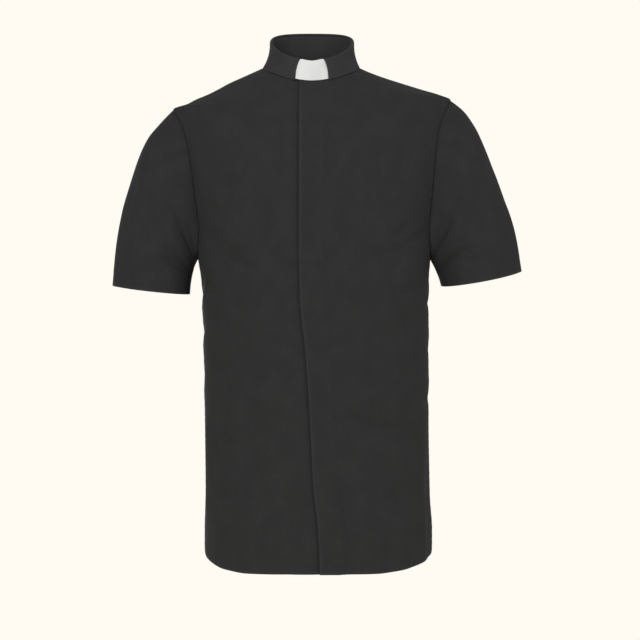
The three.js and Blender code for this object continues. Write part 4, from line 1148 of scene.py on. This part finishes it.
# The collar: a stand round the neck, and an outer layer that is turned down over it and open in front for
# the tab. Both are the shirt's cloth over stiff interfacing, so they are smooth, with topstitched edges.
COLLAR_TOP = {"side": 49.0, "tilt": 28.5, "dip": 8.5, "wide": 67.5, "deep": 59.0, "centre_y": -2.0}
COLLAR = {"flare": 3.0, "curve": 2.2, "seat": 0.5, "rest": 0.5, "search": 15.0, "front": (-160, -20)}
STAND = {
    "outer": 3.3, "thick": 1.2, "foot": -0.07, "top": 0.91, "lap_turn": 11.0, "ramp": 18.0, "lap_depth": 1.6,
    "columns": 150, "rows": 11, "stitch": 2.5,
}
FALL = {
    "thick": 0.9, "fold": 2.25, "lip": 0.925, "rows": 12, "columns": 190, "fold_rows": 8,
    "stitch": 4.0, "top_stitch": 2.5, "trim": (4.0, 4.0), "end_trim": (4.0, 2.5),
}
FALL_WAVE = {"high": 0.16, "wave": 23.0, "sway": 1.3, "sway_wave": 57.0}
TAB_GAP = {"bottom": 26.2, "narrows": 6.2, "bulge": 7.2}
# Painted light: the collar's black is a lighter copy of the shirt's same cloth, standing for the brighter
# light that falls on the collar.
COLLAR_BLACK_PAINTED_LIGHTER = (0.0269, 0.0266, 0.0271)


def collar_point(angle, v):
    """A point of the collar's outer face: v is 0 on the neck seam and 1 at the top. Going up it draws in
    from the neck seam to the upper oval as 1 - (1 - v)^curve, so it flares at its foot."""
    angle, v = np.broadcast_arrays(np.asarray(angle, float), np.asarray(v, float))
    foot = body_point(angle, neck_height(angle))
    reach = 1 + COLLAR["flare"] / np.hypot(foot[..., 0], foot[..., 1])
    s = np.sin(angle)
    upright = 1 - (1 - np.clip(v, 0, 1)) ** COLLAR["curve"]
    x = mix(foot[..., 0] * reach, COLLAR_TOP["wide"] * np.cos(angle), upright)
    y = mix(foot[..., 1] * reach, COLLAR_TOP["centre_y"] + COLLAR_TOP["deep"] * s, upright)
    top = COLLAR_TOP["side"] + COLLAR_TOP["tilt"] * s - COLLAR_TOP["dip"] * s * s
    return np.stack([x, y, mix(foot[..., 2] + COLLAR["seat"], top, v)], axis=-1)


def collar_outward(angle, v):
    """The level direction out of the collar."""
    inside = np.clip(v, SMALL_STEP, 1 - SMALL_STEP)
    return unit(square_to(collar_point, angle, inside, SMALL_STEP, SMALL_STEP) * [1, 1, 0])


def inside_collar(angle, v, depth):
    """The collar's point moved in, level, by a depth."""
    return collar_point(angle, v) - collar_outward(angle, v) * np.asarray(depth)[..., None]


def cloth_under(points):
    """The height of the body's cloth under points beside the neck: where its reach grows to theirs."""
    angle = np.arctan2(points[..., 1], points[..., 0])
    reach = np.linalg.norm(points[..., :2], axis=-1)
    low, high = points[..., 2] - COLLAR["search"], points[..., 2] + COLLAR["search"]
    return halved(low, high, lambda z: np.linalg.norm(body_point(angle, z)[..., :2], axis=-1) < reach)


def rested(points, angle, v, inner_depth):
    """A collar layer with its foot drawn down, as (1 - v)^2, until its inner face rests on the cloth."""
    foot = inside_collar(angle, 0 * v, inner_depth)
    drop = np.maximum(0, foot[..., 2] - cloth_under(foot) - COLLAR["rest"])
    down = drop * (1 - np.clip(v, 0, 1)) ** 2
    return points - down[..., None] * [0, 0, 1]


def collar_angle_at_x(x, v):
    """The direction of the collar's front where it crosses a given x."""
    first, last = np.radians(COLLAR["front"])
    low = first + 0 * np.asarray(x + v, float)
    return halved(low, last, lambda angle: collar_point(angle, v)[..., 0] > x)


def fall_piece():
    """The turned-down layer: one profile carried round the neck from one side of the front gap to the other.
    The profile goes up the outer face, over the top in half a circle, and ends in a lip above the stand."""
    rise = np.linspace(0, 1, FALL["rows"])
    fold = np.radians(np.linspace(0, 180, FALL["fold_rows"] + 1))[1:]
    s = np.linspace(0, 1, FALL["columns"])
    gap = TAB_GAP["bottom"] - TAB_GAP["narrows"] * rise + TAB_GAP["bulge"] * rise * (1 - rise)
    start = collar_angle_at_x(gap, rise)
    end = collar_angle_at_x(-gap, rise) + 2 * np.pi
    angle = mix(start[None], end[None], s[:, None])
    height = collar_point(angle, 1.0)[..., 2] - collar_point(angle, 0.0)[..., 2]
    v = rise[None] * (1 - FALL["fold"] / height)
    angle_top, height_top, v_top = angle[:, -1:], height[:, -1:], v[:, -1:]
    over = v_top + FALL["fold"] * np.sin(fold)[None] / height_top
    depth = FALL["fold"] * (1 - np.cos(fold))[None] + 0 * angle_top
    lip = np.minimum(v_top, FALL["lip"])
    angles = np.concatenate([angle, angle_top + 0 * over, angle_top], axis=1)
    shares = np.concatenate([v, over, lip], axis=1)
    depths = np.concatenate([0 * v, depth, depth[:, -1:]], axis=1)
    points = rested(inside_collar(angles, shares, depths), angles, shares, FALL["thick"])
    outward = collar_outward(angles, np.clip(shares, 0, 1))
    around = run_from(points, "start")
    sway = FALL_WAVE["sway"] * np.sin(around / FALL_WAVE["sway_wave"])
    wave = FALL_WAVE["high"] * np.sin(around / FALL_WAVE["wave"] + sway)
    points = points + outward * wave[..., None]
    face, face_out = points[:, : FALL["rows"]], outward[:, : FALL["rows"]]
    long_rows = [("bottom", FALL["stitch"]), ("top", FALL["top_stitch"])]
    end_rows = [("start", FALL["stitch"]), ("end", FALL["stitch"])]
    rows = stitch_lines(face, face_out, long_rows, FALL["trim"])
    rows += stitch_lines(face, face_out, end_rows, FALL["end_trim"])
    from_edge = np.minimum(np.minimum(around, run_from(points, "end")), run_from(points, "bottom"))
    worn = np.exp(-from_edge / WORN["edge_wide"])
    return sewn_piece(
        "collar_fall", points, outward, rows, worn,
        thick=FALL["thick"], material=collar_cloth_painted_lighter,
    )


def stand_piece():
    """The stand: a band from its right end, under its left end behind the tab, right round the neck."""
    lap_turn, ramp = np.radians(STAND["lap_turn"]), np.radians(STAND["ramp"])
    start = -np.pi / 2 - lap_turn
    end = -np.pi / 2 + lap_turn + 2 * np.pi
    turns = np.linspace(start, end, STAND["columns"])
    rises = np.linspace(STAND["foot"], STAND["top"], STAND["rows"])
    angle, v = np.meshgrid(turns, rises, indexing="ij")
    past = (angle - (end - 2 * lap_turn - ramp)) / ramp
    depth = STAND["outer"] + STAND["lap_depth"] * smooth(past)
    points, outward = inside_collar(angle, v, depth), collar_outward(angle, v)
    inner = points - outward * STAND["thick"]
    rows = stitch_lines(inner, -outward, [("bottom", STAND["stitch"]), ("top", STAND["stitch"])])
    return sewn_piece(
        "collar_stand", points, outward, rows,
        thick=STAND["thick"], material=collar_cloth_painted_lighter,
    )


# The collar's layers get the lighter black, which is painted light on the same cloth as the shirt.
collar_cloth_painted_lighter = woven("black_collar_cloth_painted_lighter", COLLAR_BLACK_PAINTED_LIGHTER, roughness=0.82, relief=0.28, sheen=0.06)
collar_stand, collar_stand_thread = stand_piece()
collar_fall, collar_fall_thread = fall_piece()


# The white tab. A smooth semi-matt plastic strip, slid in between the stand and the turned-down layer. Only
# its middle shows, in the collar's gap, where it reaches up to the collar's edge.
TAB = {
    "outer": 1.75, "thick": 1.0, "hidden_top": 0.91, "half_turn": 37.0, "top_half": 19.0, "step": 0.8,
    "dip": 0.05, "corner": 0.03, "corner_power": 16, "edge": 0.3, "shown": 33, "hidden": 14, "rows": 18,
}
TAB_WHITE = (0.701, 0.713, 0.708)
TAB_GRAIN = {"scale": 1500.0, "high": 0.0002}
TAB_CLOUDS = {"scale": 60.0, "shades": (0.97, 1.03), "span": (0.3, 0.7)}


def tab_strip():
    """The strip's outer face. Across it the angle runs from one hidden end to the other, and its top edge
    steps up where it shows. That upper edge dips a little at the middle and its corners are rounded."""
    half, shown_half, count = np.radians(TAB["half_turn"]), TAB["top_half"], TAB["hidden"]
    shown = collar_angle_at_x(np.linspace(-shown_half, shown_half, TAB["shown"]), 1.0)
    right_step = collar_angle_at_x(-shown_half - TAB["step"], 1.0)
    left_step = collar_angle_at_x(shown_half + TAB["step"], 1.0)
    hidden_right = np.linspace(-np.pi / 2 - half, right_step, count)
    hidden_left = np.linspace(left_step, -np.pi / 2 + half, count)
    angle = np.concatenate([hidden_right, shown, hidden_left])
    top = np.full_like(angle, TAB["hidden_top"])
    across = np.linspace(-1, 1, len(shown))
    dip = TAB["dip"] * np.cos(across * np.pi / 2) ** 2
    top[count:-count] = 1.0 - dip - TAB["corner"] * np.abs(across) ** TAB["corner_power"]
    v = np.linspace(0, 1, TAB["rows"])
    turn = angle[:, None] + 0 * v[None]
    share = top[:, None] * v[None]
    points = rested(inside_collar(turn, share, TAB["outer"]), turn, share, TAB["outer"] + TAB["thick"])
    return points, collar_outward(turn, share)


def white_plastic():
    """Semi-matt white plastic with a faint fine grain and slightly uneven gloss."""
    material, tree, shader = new_shader("white_tab_plastic")
    cloudy = clouds(tree, TAB_CLOUDS["scale"])
    shade(tree, shader, cloudy, tints(TAB_WHITE, TAB_CLOUDS["shades"]), TAB_CLOUDS["span"])
    bump = tree.nodes.new("ShaderNodeBump")
    bump.inputs["Strength"].default_value = 0.08
    bump.inputs["Distance"].default_value = TAB_GRAIN["high"]
    tree.links.new(clouds(tree, TAB_GRAIN["scale"]), bump.inputs["Height"])
    tree.links.new(bump.outputs["Normal"], shader.inputs["Normal"])
    gloss = tree.nodes.new("ShaderNodeMapRange")
    gloss.inputs["To Min"].default_value = 0.38
    gloss.inputs["To Max"].default_value = 0.5
    tree.links.new(cloudy, gloss.inputs["Value"])
    tree.links.new(gloss.outputs["Result"], shader.inputs["Roughness"])
    shader.inputs["Specular IOR Level"].default_value = 0.45
    return material


tab_points, tab_out = tab_strip()
collar_tab = cloth_piece("collar_tab_strip", tab_points, tab_out, white_plastic(), thick=TAB["thick"])
tab_edge = collar_tab.modifiers.new("rounded_edge", "BEVEL")
tab_edge.width = TAB["edge"] / METRE
tab_edge.segments = 2
tab_edge.limit_method = "ANGLE"
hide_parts("collar_tab")


# The buttons. Seven black resin discs with four holes and a raised rim, sewn on under the fly.
BUTTONS = {"count": 7, "top": -78.0, "pitch": 93.0, "seat": 0.3, "spokes": 40}
HOLES = {"turns": (45, 135, 225, 315), "radius": 0.75, "out": 1.5, "from": 0.8, "deep": 1.1, "slope": 0.4}
BUTTON_THREAD = {"beside": 1.06, "reach": 2.1, "height": 1.62}
RESIN = {"scale": 420.0, "colours": ((0.008, 0.008, 0.008), (0.022, 0.021, 0.021))}
BUTTON_PROFILE = {
    "radius": (0, 0.5, 1.0, 1.5, 2.0, 2.5, 3.0, 3.6, 3.9, 4.2, 4.7, 5.1, 5.4, 5.5, 5.5, 5.3, 4.9, 3.0, 0),
    "height": (1.5, 1.5, 1.5, 1.5, 1.5, 1.5, 1.5, 1.52, 1.7, 1.9, 2.0, 1.96, 1.8, 1.5, 0.5, 0.15, 0, 0, 0),
}


def button_form():
    """A button as a profile turned round its axis, with four hollows where the thread goes through."""
    radius, height = (np.array(BUTTON_PROFILE[key], float) for key in ("radius", "height"))
    turn = np.linspace(0, 2 * np.pi, BUTTONS["spokes"] + 1)
    r = radius[:, None] + 0 * turn[None]
    x, y = r * np.cos(turn), r * np.sin(turn)
    z = height[:, None] + 0 * turn[None]
    for hole in np.radians(HOLES["turns"]):
        away = np.hypot(x - HOLES["out"] * np.cos(hole), y - HOLES["out"] * np.sin(hole))
        deep = np.where(z > HOLES["from"], HOLES["deep"], 0)
        z = z - deep * smooth((HOLES["radius"] - away) / HOLES["slope"])
    return np.stack([x, y, z], axis=-1)


def resin():
    """Polished black resin, a little clouded."""
    material, tree, shader = new_shader("black_resin")
    shade(tree, shader, clouds(tree, RESIN["scale"]), RESIN["colours"])
    shader.inputs["Roughness"].default_value = 0.26
    return material


def close_up(made):
    """Merges doubled points, so that poles and seams are closed, and turns every face outwards."""
    work = bmesh.new()
    work.from_mesh(made.data)
    bmesh.ops.remove_doubles(work, verts=work.verts, dist=1e-6)
    bmesh.ops.dissolve_degenerate(work, edges=work.edges, dist=1e-7)
    bmesh.ops.recalc_face_normals(work, faces=work.faces)
    work.to_mesh(made.data)
    work.free()
    made.data.shade_smooth()


button_resin = resin()
button_shape = button_form()
button_threads = []
button_rise = LAP["right"]["lift"][0] + BUTTONS["seat"]
reach, high = BUTTON_THREAD["reach"], BUTTON_THREAD["height"]
for number in range(BUTTONS["count"]):
    button_z = BUTTONS["top"] - number * BUTTONS["pitch"]
    button_angle = angle_at_x(opening_line(button_z), button_z)
    button_out = body_outward(button_angle, button_z)
    button_side = unit(np.cross([0, 0, 1.0], button_out))
    button_up = np.cross(button_out, button_side)
    button_foot = body_point(button_angle, button_z) + button_out * button_rise
    button_axes = np.stack([button_side, button_up, button_out])
    placed = button_foot + button_shape @ button_axes
    button = mesh_object(f"button_{number + 1}_resin", placed.reshape(-1, 3), grid_faces(*placed.shape[:2]))
    close_up(button)
    button.data.materials.append(button_resin)
    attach(button, "root")
    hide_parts(f"button_{number + 1}")
    for beside in (-BUTTON_THREAD["beside"], BUTTON_THREAD["beside"]):
        ends = np.array([[beside, -reach, high], [beside, reach, high]])
        sewn = button_foot + ends @ button_axes
        button_threads.append(stitch_row(sewn, np.stack([button_out] * 2), trim=(0.0, 0.0)))
stitching("button_threads", button_threads, black_thread)
